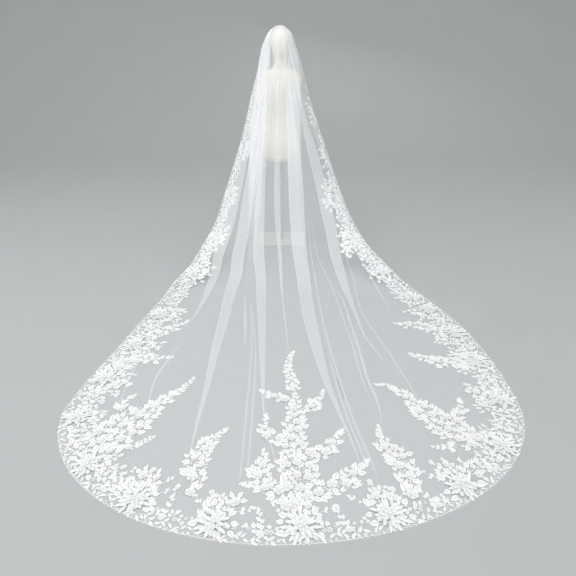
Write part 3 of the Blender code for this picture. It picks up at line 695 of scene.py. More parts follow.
def net_finish():
    """Soft net: mostly open, its white threads catch the light, denser where it is gathered."""
    finish = Finish("fine soft white net", Roughness=0.8, Specular_IOR_Level=0.2)
    layers = finish.node("Attribute", {"attribute_name": "fullness"})
    open_share = finish.sum("POWER", OPEN_SHARE, layers.outputs["Fac"])
    threads = finish.sum("SUBTRACT", 1.0, open_share)
    cut = finish.node("UVMap", {"uv_map": "cut"}).outputs["UV"]
    looks = {"voronoi_dimensions": "2D", "feature": "DISTANCE_TO_EDGE"}
    holes = finish.node("TexVoronoi", looks, Vector=cut, Scale=520, Randomness=0.25)
    span = {"From_Min": 0.05, "From_Max": 0.30, "To_Min": 1.25, "To_Max": 0.88}
    weave = finish.node("MapRange", Value=holes.outputs["Distance"], **span)
    cover = finish.sum("MULTIPLY", threads, weave.outputs["Result"], clamp=True)
    drift = finish.node("TexNoise", Vector=cut, Scale=6)
    finish.tones(drift.outputs["Fac"], (0.86, 0.87, 0.885), (0.90, 0.91, 0.925))
    finish.put(finish.shader, "Alpha", cover)
    return finish.material


def run_length(points):
    """How far each point of a line lies along it."""
    return np.concatenate([[0], np.cumsum(np.linalg.norm(np.diff(points, axis=0), axis=1))])


def net_panel():
    """The panel, row by row from the comb to the hem, with its fullness and the flat it was cut to."""
    grid = []
    fullness = []
    for station in ROWS:
        shares, lifts, turned_over, stacked = net_row(station)
        lifts = lifts + gathers(station, shares)
        points = veil_form(station, shares)
        grid.append(off_the_head(points + outward(station, shares) * lifts[:, None]))
        fullness.append(packing(station, shares, points[:, 0], turned_over, stacked))
    grid = np.array(grid)
    rows, width = grid.shape[:2]
    down = run_length(grid[:, width // 2])
    faces = grid_faces(rows, width, flip=True)
    piece = mesh_piece("net_panel", grid.reshape(-1, 3), faces, net_finish())
    layer = piece.data.attributes.new("fullness", "FLOAT", "POINT")
    layer.data.foreach_set("value", np.array(fullness).ravel().astype(np.float32))
    cut = piece.data.uv_layers.new(name="cut")
    across = np.linspace(-CUT_HALF_WIDTH, CUT_HALF_WIDTH, width)
    flat = np.stack(np.meshgrid(across, down), axis=-1).reshape(-1, 2)
    corners = np.zeros(len(piece.data.loops), dtype=np.int32)
    piece.data.loops.foreach_get("vertex_index", corners)
    cut.data.foreach_set("uv", flat[corners].ravel().astype(np.float32))
    return piece


net = net_panel()
net.visible_shadow = False  # so open a net hardly dims the light on what it covers
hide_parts("veil_tulle")

# ---- Lace edging down the two sides ----
# Embroidered floral lace, applied over the net's edge: corded rims, satin-stitched fields. A
# scalloped cord, leaning leaves and florets, and a full blossom with roses every 0.38 m.

LACE_OFF = TULLE / 2 + SEAM
LACE_BASE = TULLE + SEAM
EDGING_STARTS = 4.8  # the station at the top of the lace
EDGING_REACH = 0.36
EDGING_STEP = 0.01
TRAIN = 15  # the station from which the net lies on the floor
BOUQUET_PITCH = 0.380
SCALLOP_DEPTH = 0.0045
SCALLOP_PITCH = 0.024
VINE_INSIDE = 0.026
VINE_PITCH = 0.105
RUN_STEP = 0.0038
CELL = 0.030  # the lace's motifs look for free room in cells of this size


def stitch_finish():
    """White cotton: bright cord rims, slightly darker, finer stitched fields, and painted shade on
    petals.
    """
    finish = Finish("white embroidered lace", Roughness=0.7, Sheen_Weight=0.15)
    place = finish.node("TexCoord").outputs["Object"]
    looks = {"wave_type": "BANDS", "bands_direction": "DIAGONAL"}
    satin = finish.node("TexWave", looks, Vector=place, Scale=420, Distortion=6, Detail=2)
    fuzz = finish.node("TexNoise", Vector=place, Scale=240, Detail=3).outputs["Fac"]
    finish.relief(finish.sum("ADD", satin.outputs["Fac"], fuzz), 0.5, 0.0004)
    # the attribute holds the cords' brightness and the painted shade on the blossoms' petals
    cords_and_painted_shade = finish.node("Attribute", {"attribute_name": "cord_and_painted_shade"})
    tone_and_painted_shade = finish.sum("MULTIPLY_ADD", fuzz, 0.22, cords_and_painted_shade.outputs["Fac"])
    finish.tones(tone_and_painted_shade, (0.66, 0.665, 0.68), (0.97, 0.97, 0.97), 0.05, 0.95)
    return finish.material


STITCH = stitch_finish()


def leaf_motif(bend, plump):
    """A pointed leaf along +X, one unit long: a corded rim, two stitched halves and a vein."""
    lanes = [(-1, 0.008, 0.9), (-0.78, 0.020, 1), (-0.4, 0.024, 0.6), (0, 0.030, 0.1)]
    lanes += [(0.4, 0.024, 0.6), (0.78, 0.020, 1), (1, 0.008, 0.9)]
    points = []
    rows = 6
    for i in range(rows):
        f = i / (rows - 1)
        half = plump * sin(pi * f**0.80) ** 0.75 + 0.010
        middle = bend * sin(pi * f)
        for side, height, cord in lanes:
            tone = 1.0 if i in (0, rows - 1) else cord
            points.append((f - 0.07 * abs(side) * sin(pi * f), middle + half * side, height, tone))
    return np.array(points), grid_faces(rows, len(lanes))


def away(x, y, turn, reach):
    """The place at a reach from (x, y) in the direction of turn."""
    return x + reach * cos(turn), y + reach * sin(turn)


def petal(turn, inner, outer, wide, base, proud, shade, ragged, chance):
    """One rounded petal of a blossom: a cord rim that stands a little proud, and painted shade on its
    sides and base.
    """
    points = []
    reach = outer * chance.uniform(1 - ragged, 1 + 0.6 * ragged)
    for i in range(4):
        f = i / 3
        half = wide * (0.55 + 0.62 * sin(pi * (0.20 + 0.62 * f))) * (1 - 0.38 * f**5)
        for g in (-1, -0.5, 0, 0.5, 1):
            r = inner + (reach - inner) * (f - 0.16 * g * g * f)
            height = base + 0.4 * proud * f + (proud if i == 3 or abs(g) == 1 else 0.0)
            # painted shade: the petal's sides and the part near its base are darker, as if shaded by
            # the petals over them
            cord = shade if abs(g) == 1 else shade + 0.05 + (0.95 - shade) * f
            x, y = away(*away(0, 0, turn, r), turn + pi / 2, half * g)
            points.append((x, y, height, 1.0 if i == 3 else cord))
    return points


def blossom_motif(seed, rings, heart, rise=0.010, proud=0.014, shade=0.1, ragged=0.10):
    """A blossom one unit across: rings of petals, each on the one outside it, round a heart."""
    chance = np.random.default_rng(seed)
    points = []
    faces = []
    for number, (count, inner, outer, wide) in enumerate(rings):
        offset = chance.uniform(0, 2 * pi)
        for k in range(count):
            turn = offset + 2 * pi * k / count + 11 * ragged * chance.uniform(-1, 1) / count
            faces += grid_faces(4, 5, len(points))
            base = rise * (number + 0.4 * (k % 2))
            points += petal(turn, inner, outer, wide, base, proud, shade, ragged, chance)
    top = rise * len(rings) + 1.3 * proud
    middle = len(points)
    points.append((0, 0, top, 1.0))
    for k in range(8):
        points.append((*away(0, 0, 2 * pi * k / 8, heart), top - 0.8 * proud, 0.5 + 0.5 * (k % 2)))
        faces.append((middle, middle + 1 + k, middle + 1 + (k + 1) % 8))
    return np.array(points), faces


LEAVES = [leaf_motif(b, w) for b, w in ((0.05, 0.30), (-0.06, 0.33), (0.10, 0.29), (-0.02, 0.35))]
SLIM_LEAVES = [leaf_motif(b, w) for b, w in ((0.06, 0.19), (-0.08, 0.21), (0.12, 0.18))]
# Each ring of a blossom has its number of petals, where they start and end, and their half width.
ROSE_RINGS = [(5, 0.20, 0.50, 0.27), (5, 0.12, 0.38, 0.18), (4, 0.03, 0.23, 0.12)]
ROSES = [blossom_motif(seed, ROSE_RINGS, 0.07) for seed in (3, 7, 11, 15)]
FULL_RINGS = [
    (15, 0.29, 0.50, 0.048),
    (13, 0.24, 0.43, 0.052),
    (11, 0.17, 0.36, 0.054),
    (9, 0.10, 0.28, 0.052),
    (6, 0.04, 0.19, 0.050),
]
FULL_LOOKS = {"rise": 0.003, "proud": 0.006, "shade": 0.12, "ragged": 0.26}
FULL_BLOSSOMS = [blossom_motif(seed, FULL_RINGS, 0.04, **FULL_LOOKS) for seed in (5, 9, 13)]
FLORETS = [
    blossom_motif(2, [(5, 0.10, 0.50, 0.20)], 0.13),
    blossom_motif(4, [(4, 0.08, 0.50, 0.25)], 0.12),
    blossom_motif(6, [(6, 0.16, 0.50, 0.15)], 0.10),
]
# A row of florets lies between two depths, at a pitch, and has one size.
FLORET_ROWS = [(0.008, 0.016, 0.022, 0.015), (0.040, 0.056, 0.020, 0.025), (0.060, 0.078, 0.028, 0.020)]
CORD_LANES = [(-0.5, 0.0), (-0.3, 0.8), (0.0, 1.0), (0.3, 0.8), (0.5, 0.0)]
CORD_HEADS = 0.9  # how bright the threads of a cord are
LEAF_SPOTS = (0.30, 0.72)  # a leaf takes up a round place at each of these shares of its length
LEAF_NEEDS = 0.20
LEAF_TAKES = 0.215
ROSE_TAKES = 0.44
ROSE_LIFT = 0.0016
BLOSSOM = 0.152
BLOSSOM_INSIDE = 0.078
BLOSSOM_LIFT = 0.0020


class Lace:
    """The motifs of one lace piece, kept in the flat of the cloth until they are laid on it."""

    def __init__(self, seed):
        self.chance = np.random.default_rng(seed)
        self.points = []
        self.faces = []
        self.count = 0
        self.taken = defaultdict(list)

    def add(self, points, faces):
        """Adds points of (along the edge, inside it, height, cord), and their faces."""
        self.points.append(points)
        self.faces += [tuple(v + self.count for v in face) for face in faces]
        self.count += len(points)

    def motif(self, shapes, x, y, turn, size, lift=0.0):
        """One of the shapes, by chance, turned and sized, from its foot or middle at (x, y)."""
        points, faces = shapes[self.chance.integers(len(shapes))]
        x, y = away(*away(x, y, turn, size * points[:, 0]), turn + pi / 2, size * points[:, 1])
        self.add(np.stack([x, y, lift + size * points[:, 2], points[:, 3]], axis=1), faces)

    def cord(self, path, width, height):
        """A raised cord along a path in the flat of the cloth."""
        path = np.asarray(path, float)
        run = unit(np.gradient(path, axis=0))
        points = []
        for (x, y), (run_x, run_y) in zip(path, run):
            for across, up in CORD_LANES:
                off = across * width
                points.append((x - run_y * off, y + run_x * off, 0.0001 + height * up, CORD_HEADS))
        self.add(np.array(points), [f[::-1] for f in grid_faces(len(path), len(CORD_LANES))])

    def take(self, x, y, radius):
        """Notes a round place as taken, in every cell that a motif near it would look in."""
        reach = radius + 0.030
        for i in range(int((x - reach) // CELL), int((x + reach) // CELL) + 1):
            for j in range(int((y - reach) // CELL), int((y + reach) // CELL) + 1):
                self.taken[i, j].append((x, y, radius))

    def free(self, x, y, radius):
        """Whether nothing lies in a round place yet."""
        near = self.taken.get((int(x // CELL), int(y // CELL)), ())
        return all((x - a) ** 2 + (y - b) ** 2 > (radius + r) ** 2 for a, b, r in near)

    def leaf_out(self, x, y, turn, size, shapes=LEAVES):
        """A leaf from its foot at (x, y), unless something lies where it would be."""
        spots = [away(x, y, turn, at * size) for at in LEAF_SPOTS]
        if all(self.free(*spot, LEAF_NEEDS * size) for spot in spots):
            self.motif(shapes, x, y, turn, size)
            for spot in spots:
                self.take(*spot, LEAF_TAKES * size)

    def rose_with_leaves(self, x, y, size, leaf, turns):
        """A rose with leaves that stand out from under its petals."""
        self.take(x, y, ROSE_TAKES * size)
        for turn in turns:
            self.leaf_out(*away(x, y, turn, 0.46 * size), turn, leaf)
        self.motif(ROSES, x, y, self.chance.uniform(0, 6), size, ROSE_LIFT)

    def strew(self, spine, rose, leaf, with_roses=True):
        """Fills the outline round a spine of (x, y, half width) with roses, leaves and florets."""
        chance = self.chance
        spine = np.asarray(spine, float)
        steps = np.linalg.norm(np.diff(spine[:, :2], axis=0), axis=1)
        along = np.concatenate([[0], np.cumsum(steps)])
        area = float(np.sum(steps * (spine[1:, 2] + spine[:-1, 2])))
        stem = np.linspace(0, along[-1], 24)
        stem = np.stack([np.interp(stem, along, spine[:, i]) for i in (0, 1)], axis=1)
        self.cord(stem, 0.0026, 0.0009)

        def spot(margin):
            """A chance place in the outline: x, y, side, heading, half width and way along."""
            while True:
                at = chance.uniform(0, along[-1])
                half = float(np.interp(at, along, spine[:, 2]))
                if chance.uniform() * spine[:, 2].max() < half + 0.01:
                    break
            k = min(int(np.searchsorted(along, at, side="right")) - 1, len(steps) - 1)
            run = (spine[k + 1, :2] - spine[k, :2]) / steps[k]
            off = chance.uniform(-1, 1) * max(half - margin, 0.0)
            x = float(np.interp(at, along, spine[:, 0])) - run[1] * off
            y = float(np.interp(at, along, spine[:, 1])) + run[0] * off
            return x, y, off, np.arctan2(run[1], run[0]), half, at / along[-1]

        def leaning(off, half, heading):
            """A direction that leans out to the side from the spine, more near the outline."""
            side = np.sign(off) if abs(off) > 0.12 * half else chance.choice([-1, 1])
            lean = min(1.0, 0.45 + abs(off) / max(half, 0.01))
            return heading + side * chance.uniform(0.4, 1.25) * lean

        for _ in range(int(area / rose**2 * 16) if with_roses else 0):
            x, y, off, heading, half, way = spot(0.35 * rose)
            size = rose * chance.uniform(0.78, 1.12) * (1 - 0.2 * way)
            if half > 0.36 * size and self.free(x, y, 0.62 * size):
                turns = [leaning(off, half, heading) + chance.uniform(-0.6, 0.6) for _ in range(2)]
                self.rose_with_leaves(x, y, size, leaf * chance.uniform(0.85, 1.1), turns)
        for _ in range(int(area / leaf**2 * 26)):
            x, y, off, heading, half, way = spot(0.0)
            size = leaf * chance.uniform(0.72, 1.10) * (1 - 0.15 * way)
            turn = leaning(off, half, heading)
            self.leaf_out(*away(x, y, turn, -0.4 * size), turn, size)
        for _ in range(int(area / 0.016**2 * 6)):
            x, y, off, heading, half, way = spot(0.004)
            if self.free(x, y, 0.0055):
                self.motif(FLORETS, x, y, chance.uniform(0, 6), chance.uniform(0.010, 0.015), 0.0002)
                self.take(x, y, 0.0075)

    def twig(self, x, y, turn, length, leaf, pairs, bud=0.0):
        """A stem with pairs of leaves, and a leaf or a bud at its tip."""
        chance = self.chance
        bend = chance.uniform(-0.25, 0.25)
        stem = [away(x, y, turn + bend * f, length * f) for f in np.linspace(0, 1, 7)]
        self.cord(stem, 0.0022, 0.0008)
        for k in range(pairs):
            f = 0.18 + 0.68 * k / max(pairs - 1, 1)
            heading = turn + bend * f
            for side in (-1, 1):
                foot = away(x, y, heading, length * (f + 0.04 * side))
                size = leaf * chance.uniform(0.85, 1.1) * (1 - 0.25 * f)
                self.leaf_out(*foot, heading + side * chance.uniform(0.55, 0.95), size)
        if bud:
            self.motif(ROSES, *stem[-1], chance.uniform(0, 6), bud, 0.0004)
        else:
            self.motif(LEAVES, *stem[-1], turn + bend, leaf * 0.9)

    def branch(self, spine, rose, leaf, with_roses=True, bud=0.0):
        """A strewn branch that runs out into a leafy twig."""
        foot = np.array(spine[-2][:2])
        reach = np.array(spine[-1][:2]) - foot
        heading = np.arctan2(reach[1], reach[0])
        self.twig(*(foot - 0.1 * reach), heading, 1.1 * np.linalg.norm(reach), 0.030, 4, bud)
        if len(spine) > 2:
            self.strew(spine[:-1], rose, leaf, with_roses)

    def bouquet(self, u, grow, tall=1.0):
        """A full blossom on the edging, leaves round it, and roses and twigs above it."""
        chance = self.chance
        y = BLOSSOM_INSIDE * grow
        blossom = BLOSSOM * grow
        self.motif(FULL_BLOSSOMS, u, y, chance.uniform(0, 6), blossom, BLOSSOM_LIFT)
        self.take(u, y, 0.40 * blossom)
        for turn in np.linspace(-0.30, pi + 0.30, 8):
            turn = turn + chance.uniform(-0.16, 0.16)
            size = 0.040 * grow * chance.uniform(0.80, 1.15)
            start = blossom * chance.uniform(0.42, 0.50)
            lean = turn + chance.uniform(-0.5, 0.5)
            if chance.uniform() < 0.85:
                self.leaf_out(*away(u, y, turn, start), lean, size)
        rose = 0.056 * min(1, grow + 0.1)
        for side in (-1, 1):
            if chance.uniform() < 0.75:
                x = u + side * chance.uniform(0.045, 0.070) * grow
                above = y + chance.uniform(0.085, 0.110) * grow
                turns = pi / 2 - side * np.array([-0.9, 0.2, 1.1]) + chance.uniform(-0.3, 0.3)
                if self.free(x, above, 0.40 * rose):
                    size = rose * chance.uniform(0.85, 1.1)
                    self.rose_with_leaves(x, above, size, 0.036 * grow, turns)
        lean = chance.uniform(-0.03, 0.03)
        start = 0.120 * grow
        widths = (0.090 * grow, 0.064 * grow, 0.030 * grow)
        spine = [(u + k * lean, start + 0.045 * k * tall, half) for k, half in enumerate(widths)]
        self.strew(spine, rose, 0.036 * min(1, grow + 0.1))
        for turn in (-0.85, -0.25, 0.45, 0.95):
            reach = chance.uniform(0.070, 0.125) * grow * (0.7 + 0.3 * tall)
            bud = 0.030 * grow if chance.uniform() < 0.4 else 0.0
            heading = pi / 2 - turn + chance.uniform(-0.2, 0.2)
            self.twig(u + 0.055 * grow * turn, start, heading, reach, 0.028, 3, bud)

    def sprig(self, u, grow):
        """A leafy twig between two bouquets, with a small rose at its foot."""
        chance = self.chance
        self.twig(u, 0.050 * grow, pi / 2 + chance.uniform(-0.3, 0.3), 0.085 * grow, 0.030, 3)
        self.motif(ROSES, u, 0.046 * grow, chance.uniform(0, 6), 0.034, 0.0005)

    def edging(self, start, end, grow):
        """The running part: a scalloped cord, a wavy vine with slim leaves, and florets over it."""
        chance = self.chance
        run = np.linspace(start, end, int((end - start) / RUN_STEP))
        scallop = 0.0040 + SCALLOP_DEPTH * np.abs(np.sin(pi * run / SCALLOP_PITCH))
        self.cord(np.stack([run, scallop], axis=1), 0.0028, 0.0011)
        wave = np.array([VINE_INSIDE * grow(u) for u in run])
        wave = wave * (1 + 0.45 * np.sin(2 * pi * run / VINE_PITCH))
        self.cord(np.stack([run, wave], axis=1), 0.0022, 0.0010)
        side = 1
        at = start + 0.012
        while at < end - 0.012:
            size = chance.uniform(0.026, 0.036) * min(1.0, grow(at) + 0.1)
            foot = float(np.interp(at, run, wave))
            turn = side * chance.uniform(0.5, 1.15) + (pi if chance.uniform() < 0.12 else 0.0)
            if foot + size * sin(turn) > -0.004:
                self.leaf_out(at, foot, turn, size, SLIM_LEAVES)
            at += chance.uniform(0.006, 0.011)
            side = -side
        for low, high, pitch, size in FLORET_ROWS:
            at = start + 0.016
            while at < end - 0.014:
                inside = chance.uniform(low, high) * grow(at)
                bloom = size * chance.uniform(0.8, 1.15)
                if self.free(at, inside, 0.40 * bloom):
                    self.motif(FLORETS, at, inside, chance.uniform(0, 6), bloom, 0.0004)
                    self.take(at, inside, 0.40 * bloom)
                at += pitch * chance.uniform(0.8, 1.3)
        for _ in range(int((end - start) / 0.0035)):
            at = chance.uniform(start + 0.02, end - 0.02)
            inside = chance.uniform(0.038, 0.078) * grow(at)
            turn = pi / 2 + chance.uniform(-1.3, 1.3)
            self.leaf_out(at, inside, turn, chance.uniform(0.024, 0.034) * min(1.0, grow(at) + 0.1))

    def laid(self, name, lay):
        """Lays the motifs on the cloth and gives the joined mesh its finish."""
        flat = np.concatenate(self.points)
        piece = mesh_piece(name, lay(flat), self.faces, STITCH)
        # each point's cord brightness and painted shade go on the mesh as one attribute
        layer = piece.data.attributes.new("cord_and_painted_shade", "FLOAT", "POINT")
        layer.data.foreach_set("value", flat[:, 3].astype(np.float32))
        return piece


def side_lay(side):
    """How the flat of the edging lies on a side edge of the net, and the edge's length.

    It walks over the net, square to its edge, and notes the stations and shares it comes to.
    """
    station = np.linspace(EDGING_STARTS, TRAIN + 0.2, 320)
    share = np.full(len(station), float(side))
    edge = veil_form(station, share)
    along = run_length(edge)
    heading = unit(np.gradient(edge, axis=0))
    into = None
    walked = [(station, share)]
    for _ in range(int(EDGING_REACH / EDGING_STEP)):
        down = (veil_form(station + 0.01, share) - veil_form(station - 0.01, share)) / 0.02
        across = (veil_form(station, share - 0.01 * side) - veil_form(station, share)) / 0.01
        if into is None:
            into = across - heading * np.sum(across * heading, axis=1, keepdims=True)
        normal = unit(np.cross(down, across))
        into = unit(into - normal * np.sum(into * normal, axis=1, keepdims=True))
        pairs = ((down, down), (down, across), (across, across), (down, into), (across, into))
        dd, da, aa, di, ai = (np.sum(i * j, axis=1) for i, j in pairs)
        span = dd * aa - da * da
        station = station + EDGING_STEP * (di * aa - ai * da) / span
        share = share - side * EDGING_STEP * (ai * dd - di * da) / span
        walked.append((station, share))
    walked = np.array(walked)

    def lay(flat):
        """Where points of the flat lie on the net: between the nearest of the walked places."""
        place = flat[:, 0] if side < 0 else along[-1] - flat[:, 0]
        column = np.interp(place, along, np.arange(len(along)))
        row = flat[:, 1] / EDGING_STEP
        left = np.clip(column.astype(int), 0, len(along) - 2)
        low = np.clip(np.floor(row).astype(int), 0, len(walked) - 2)
        f = (column - left)[:, None]
        g = (row - low)[:, None]
        upper = walked[low, :, left] * (1 - f) + walked[low, :, left + 1] * f
        lower = walked[low + 1, :, left] * (1 - f) + walked[low + 1, :, left + 1] * f
        station, share = (upper * (1 - g) + lower * g).T
        lift = LACE_OFF + flat[:, 2] + gathers(station, share)
        spots = veil_form(station, share) + outward(station, share) * lift[:, None]
        spots[:, 2] = np.maximum(spots[:, 2], LACE_BASE + flat[:, 2])
        return spots

    return lay, along[-1]


def side_edging(name, side, seed):
    """The edging of one side, which changes its width over the shoulder."""
    lay, length = side_lay(side)
    lace = Lace(seed)

    def grow(at):
        """How large the lace is at a place: it comes to its full size below the shoulder."""
        from_top = at if side < 0 else length - at
        least = 0.66 if side < 0 else 1.15
        return least + (1 - least) * float(ramp(0.8, 1.8, from_top))

    at = 0.20 if side < 0 else 0.12
    while at < length - 0.09:
        lace.bouquet(at, grow(at), 0.5)
        at += BOUQUET_PITCH
    for start in np.arange(0.02, length - 0.06, 0.25):
        end = min(start + 0.25, length - 0.02)
        small = grow((start + end) / 2)
        spine = [(start, 0.092 * small, 0.046 * small), (end, 0.092 * small, 0.046 * small)]
        lace.strew(spine if side < 0 else spine[::-1], 0.040 * small, 0.034 * small)
    lace.edging(0.004, length - 0.002, grow)
    return lace.laid(name, lay)


left_edging = side_edging("lace_edging_left", -1, 21)
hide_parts("lace_side_left")
right_edging = side_edging("lace_edging_right", 1, 22)
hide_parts("lace_side_right")

# ---- Lace border round the train ----
# The same edging carried round the train's hem, with its bouquets a little fuller and a sprig
# between each two. It is sewn flat on the net along its inner and outer cords.

BORDER_STARTS = TRAIN + 0.2
TRAIN_MIDDLE = 0.08
BOUQUETS_NEAR = [
    (-0.86, -1.25), (-0.98, -1.58), (-1.07, -1.90), (-1.08, -2.24), (-0.93, -2.56), (-0.66, -2.78),
    (-0.31, -2.92), (0.08, -2.94), (0.47, -2.88), (0.81, -2.70), (1.06, -2.47), (1.20, -2.14),
    (1.21, -1.80), (1.14, -1.49), (1.04, -1.19),
]


def border_lay():
    """How the flat of the border lies round the train's edge, and places along its outline."""
    down = np.linspace(BORDER_STARTS, HEM, 80)
    round_hem = np.linspace(-1, 1, 320)[1:-1]
    edge = [veil_form(down, -1.0), veil_form(float(HEM), round_hem), veil_form(down[::-1], 1.0)]
    edge = np.concatenate(edge)[:, :2]
    along = run_length(edge)
    place = np.linspace(0, along[-1], 240)
    points = np.stack([np.interp(place, along, edge[:, i]) for i in range(2)], axis=1)
    run = unit(np.gradient(points, axis=0))
    columns = (*points.T, -run[:, 1], run[:, 0])

    def lay(flat):
        """Where points of the flat lie: inside the outline, square to it."""
        x, y, into_x, into_y = (np.interp(flat[:, 0], place, column) for column in columns)
        inside = flat[:, 1]
        return np.column_stack([x + into_x * inside, y + into_y * inside, LACE_BASE + flat[:, 2]])

    return lay, place, points


def train_border():
    """The edging, with a bouquet near each of the places noted and a sprig between each two."""
    lay, place, points = border_lay()
    lace = Lace(31)
    spots = [float(place[np.argmin(np.linalg.norm(points - spot, axis=1))]) for spot in BOUQUETS_NEAR]
    for at in spots:
        lace.bouquet(at, 1.08)
    for before, after in zip(spots[:-1], spots[1:]):
        middle = (before + after) / 2 + lace.chance.uniform(-0.03, 0.03)
        lace.sprig(middle, 1.15)
        if abs(float(np.interp(middle, place, points[:, 0])) - TRAIN_MIDDLE) > 0.75:
            lace.strew([(middle - 0.11, 0.110, 0.045), (middle + 0.11, 0.110, 0.045)], 0.040, 0.036)
    lace.edging(0.002, place[-1] - 0.002, lambda at: 1.1)
    return lace.laid("lace_border_train", lay)


border = train_border()
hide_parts("lace_border")

# ---- Lace sprays on the train ----
# Separate motifs of roses with leafy branches that climb from the border into the train: one
# tall stem with branches in the middle, and slanting ones beside it. Each is sewn flat. A branch
# is a spine of (x, y, half width) in millimetres, from its root to its leafy tip.

SPRAYS = {
    "centre_stem": [
        [(60, -2800, 45), (45, -2740, 60), (78, -2690, 85), (75, -2620, 92), (70, -2550, 78),
         (55, -2470, 64), (45, -2400, 58), (55, -2320, 46), (65, -2220, 46), (72, -2120, 38),
         (68, -2040, 30)],
        [(68, -2040, 36), (50, -1950, 32), (32, -1870, 27), (40, -1780, 18), (50, -1700, 8)],
    ],
    "centre_low_left": [
        [(-20, -2730, 34), (-60, -2695, 50), (-105, -2640, 52), (-110, -2585, 36), (-90, -2530, 18),
         (-80, -2490, 6)],
        [(-120, -2675, 26), (-170, -2690, 10)],
    ],
    "centre_low_right": [
        [(150, -2715, 34), (210, -2712, 46), (265, -2670, 46), (305, -2630, 34), (350, -2595, 18),
         (395, -2562, 6)],
        [(270, -2705, 26), (330, -2700, 10)],
    ],
    "centre_mid_left": [
        [(-10, -2405, 30), (-60, -2392, 36), (-100, -2370, 34), (-94, -2310, 22), (-80, -2250, 8)],
    ],
    "centre_mid_right": [
        [(125, -2500, 30), (175, -2500, 44), (225, -2462, 42), (258, -2412, 24), (285, -2355, 7)],
    ],
    "centre_high_left": [
        [(20, -2125, 22), (-20, -2108, 30), (-62, -2082, 22), (-110, -2052, 8)],
    ],
    "centre_high_right": [
        [(115, -2200, 22), (155, -2186, 34), (190, -2135, 34), (235, -2070, 10)],
    ],
    "left_diagonal": [
        [(-925, -2430, 50), (-880, -2390, 86), (-820, -2330, 96), (-750, -2260, 80),
         (-680, -2185, 52), (-620, -2100, 30), (-560, -2030, 18), (-492, -1945, 8)],
        [(-835, -2210, 30), (-862, -2150, 30), (-825, -2080, 8)],
        [(-800, -2455, 26), (-720, -2450, 22), (-650, -2392, 7)],
    ],
    "left_centre": [
        [(-412, -2725, 18), (-385, -2660, 32), (-400, -2600, 54), (-410, -2540, 56),
         (-382, -2470, 50), (-358, -2425, 44), (-328, -2395, 26), (-292, -2345, 7)],
    ],
    "left_side_low": [
        [(-990, -1835, 46), (-925, -1785, 52), (-862, -1758, 44), (-800, -1746, 42),
         (-738, -1740, 22), (-672, -1735, 7)],
    ],
    "left_side_high": [
        [(-860, -1520, 40), (-800, -1480, 42), (-735, -1432, 38), (-675, -1385, 22), (-625, -1345, 7)],
    ],
    "right_diagonal": [
        [(955, -2420, 50), (900, -2400, 86), (842, -2340, 96), (780, -2268, 78), (725, -2205, 52),
         (672, -2110, 28), (620, -2035, 18), (542, -1985, 8)],
        [(905, -2270, 30), (942, -2205, 30), (962, -2145, 8)],
        [(840, -2465, 26), (785, -2478, 20), (735, -2470, 8)],
    ],
    "right_centre": [
        [(560, -2755, 18), (572, -2665, 48), (560, -2585, 56), (540, -2515, 56), (502, -2468, 44),
         (478, -2415, 28), (486, -2338, 7)],
    ],
    "right_side_low": [
        [(1140, -1805, 46), (1065, -1800, 54), (992, -1822, 52), (932, -1800, 44), (872, -1776, 34),
         (822, -1756, 20), (768, -1735, 6)],
    ],
    "right_side_high": [
        [(1010, -1452, 40), (935, -1430, 44), (870, -1412, 42), (812, -1400, 26), (762, -1394, 7)],
    ],
}
SPRAY_ROSE = 0.056
SPRAY_LEAF = 0.045
SLENDER_LEAF = 0.035
BUD = 0.026
BUDDED = ("left_diagonal", "left_side_high", "right_side_low")


def lay_flat(flat):
    """The sprays' own flat is the floor's."""
    return np.column_stack([flat[:, 0], flat[:, 1], LACE_BASE + flat[:, 2]])


def lace_spray(name, branches, seed):
    """Roses and leaves over each branch, thinning out to a leafy twig at its tip."""
    lace = Lace(seed)
    for number, spine in enumerate(np.array(branch) / 1000 for branch in branches):
        slender = name == "centre_stem" and number == 1
        bud = BUD if name in BUDDED and number == 0 else 0.0
        lace.branch(spine, SPRAY_ROSE, SLENDER_LEAF if slender else SPRAY_LEAF, not slender, bud)
    piece = lace.laid("lace_spray_" + name, lay_flat)
    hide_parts("spray_" + name)
    return piece


sprays = [lace_spray(name, branches, 40 + i) for i, (name, branches) in enumerate(SPRAYS.items())]

# ---- Studio: floor with a swept backdrop, lights and camera ----
# A plain pale paper sweep, large soft lights above and to both sides, and a camera behind the
# form at standing height, looking down along the train.


def paper_finish():
    """Matt seamless paper with a barely visible grain."""
    finish = Finish("seamless paper", Roughness=1.0, Specular_IOR_Level=0.0)
    place = finish.node("TexCoord").outputs["Object"]
    grain = finish.node("TexNoise", Vector=place, Scale=3)
    finish.tones(grain.outputs["Fac"], (0.465, 0.468, 0.472), (0.483, 0.486, 0.490))
    return finish.material


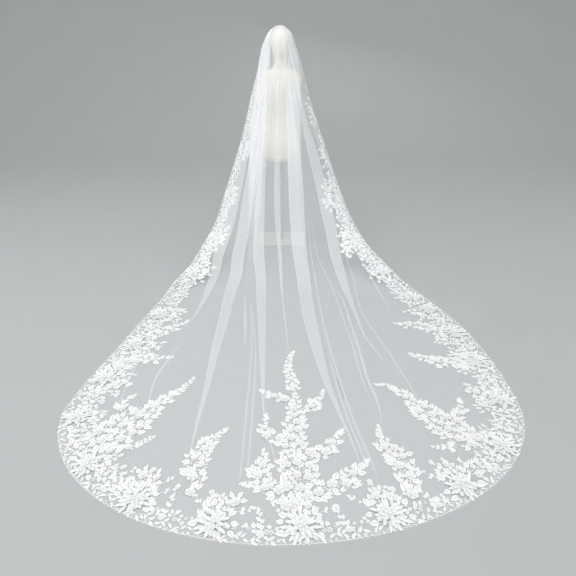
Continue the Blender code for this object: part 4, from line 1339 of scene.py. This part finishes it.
def paper_sweep():
    """The paper runs flat under the veil, then up in a wide bend behind it."""
    profile = [(-24.0, 0.0), (2.4, 0.0)]
    for k in range(1, 25):
        turn = 0.5 * pi * k / 24
        profile.append((2.4 + 5.0 * sin(turn), 5.0 * (1 - cos(turn))))
    profile.append((7.4, 12.0))
    points = [(x, y, z) for y, z in profile for x in (-24.0, 24.0)]
    faces = [(2 * i, 2 * i + 1, 2 * i + 3, 2 * i + 2) for i in range(len(profile) - 1)]
    mesh = bpy.data.meshes.new("floor")
    mesh.from_pydata(points, [], faces)
    mesh.shade_smooth()
    paper = bpy.data.objects.new("floor", mesh)
    bpy.context.scene.collection.objects.link(paper)
    mesh.materials.append(paper_finish())


paper_sweep()


def soft_light(name, at, towards, size, power):
    """A square softbox, turned towards a point."""
    data = bpy.data.lights.new(name, "AREA")
    data.shape = "SQUARE"
    data.size = size
    data.energy = power
    light = bpy.data.objects.new(name, data)
    light.location = at
    light.rotation_euler = (Vector(towards) - Vector(at)).to_track_quat("-Z", "Y").to_euler()
    bpy.context.scene.collection.objects.link(light)


soft_light("overhead softbox", (-0.8, -2.4, 4.8), (0, -1.4, 0), 4.5, 93)
soft_light("softbox behind the camera", (-1.5, -7.0, 3.2), (0, -0.5, 0.8), 4.0, 70)
soft_light("left softbox", (-4.8, -1.5, 2.6), (0, -0.8, 0.6), 2.6, 32)
soft_light("front softbox", (1.2, 4.6, 3.3), (0, 0, 0.9), 3.0, 20)
soft_light("right softbox", (4.8, -2.0, 2.4), (0, -0.8, 0.6), 2.6, 25)

world = bpy.data.worlds.new("studio")
world.use_nodes = True
world.node_tree.nodes["Background"].inputs["Color"].default_value = (1.0, 1.0, 1.0, 1)
world.node_tree.nodes["Background"].inputs["Strength"].default_value = 0.72
bpy.context.scene.world = world
bpy.context.scene.view_settings.view_transform = "Standard"

camera_data = bpy.data.cameras.new("camera")
camera_data.sensor_width = 36.0
camera_data.lens = 32.5
camera = bpy.data.objects.new("camera", camera_data)
camera.location = (0.0, -4.27, 1.90)
camera.rotation_euler = (radians(90 - 29.4), 0.0, radians(-0.77))
bpy.context.scene.collection.objects.link(camera)
bpy.context.scene.camera = camera
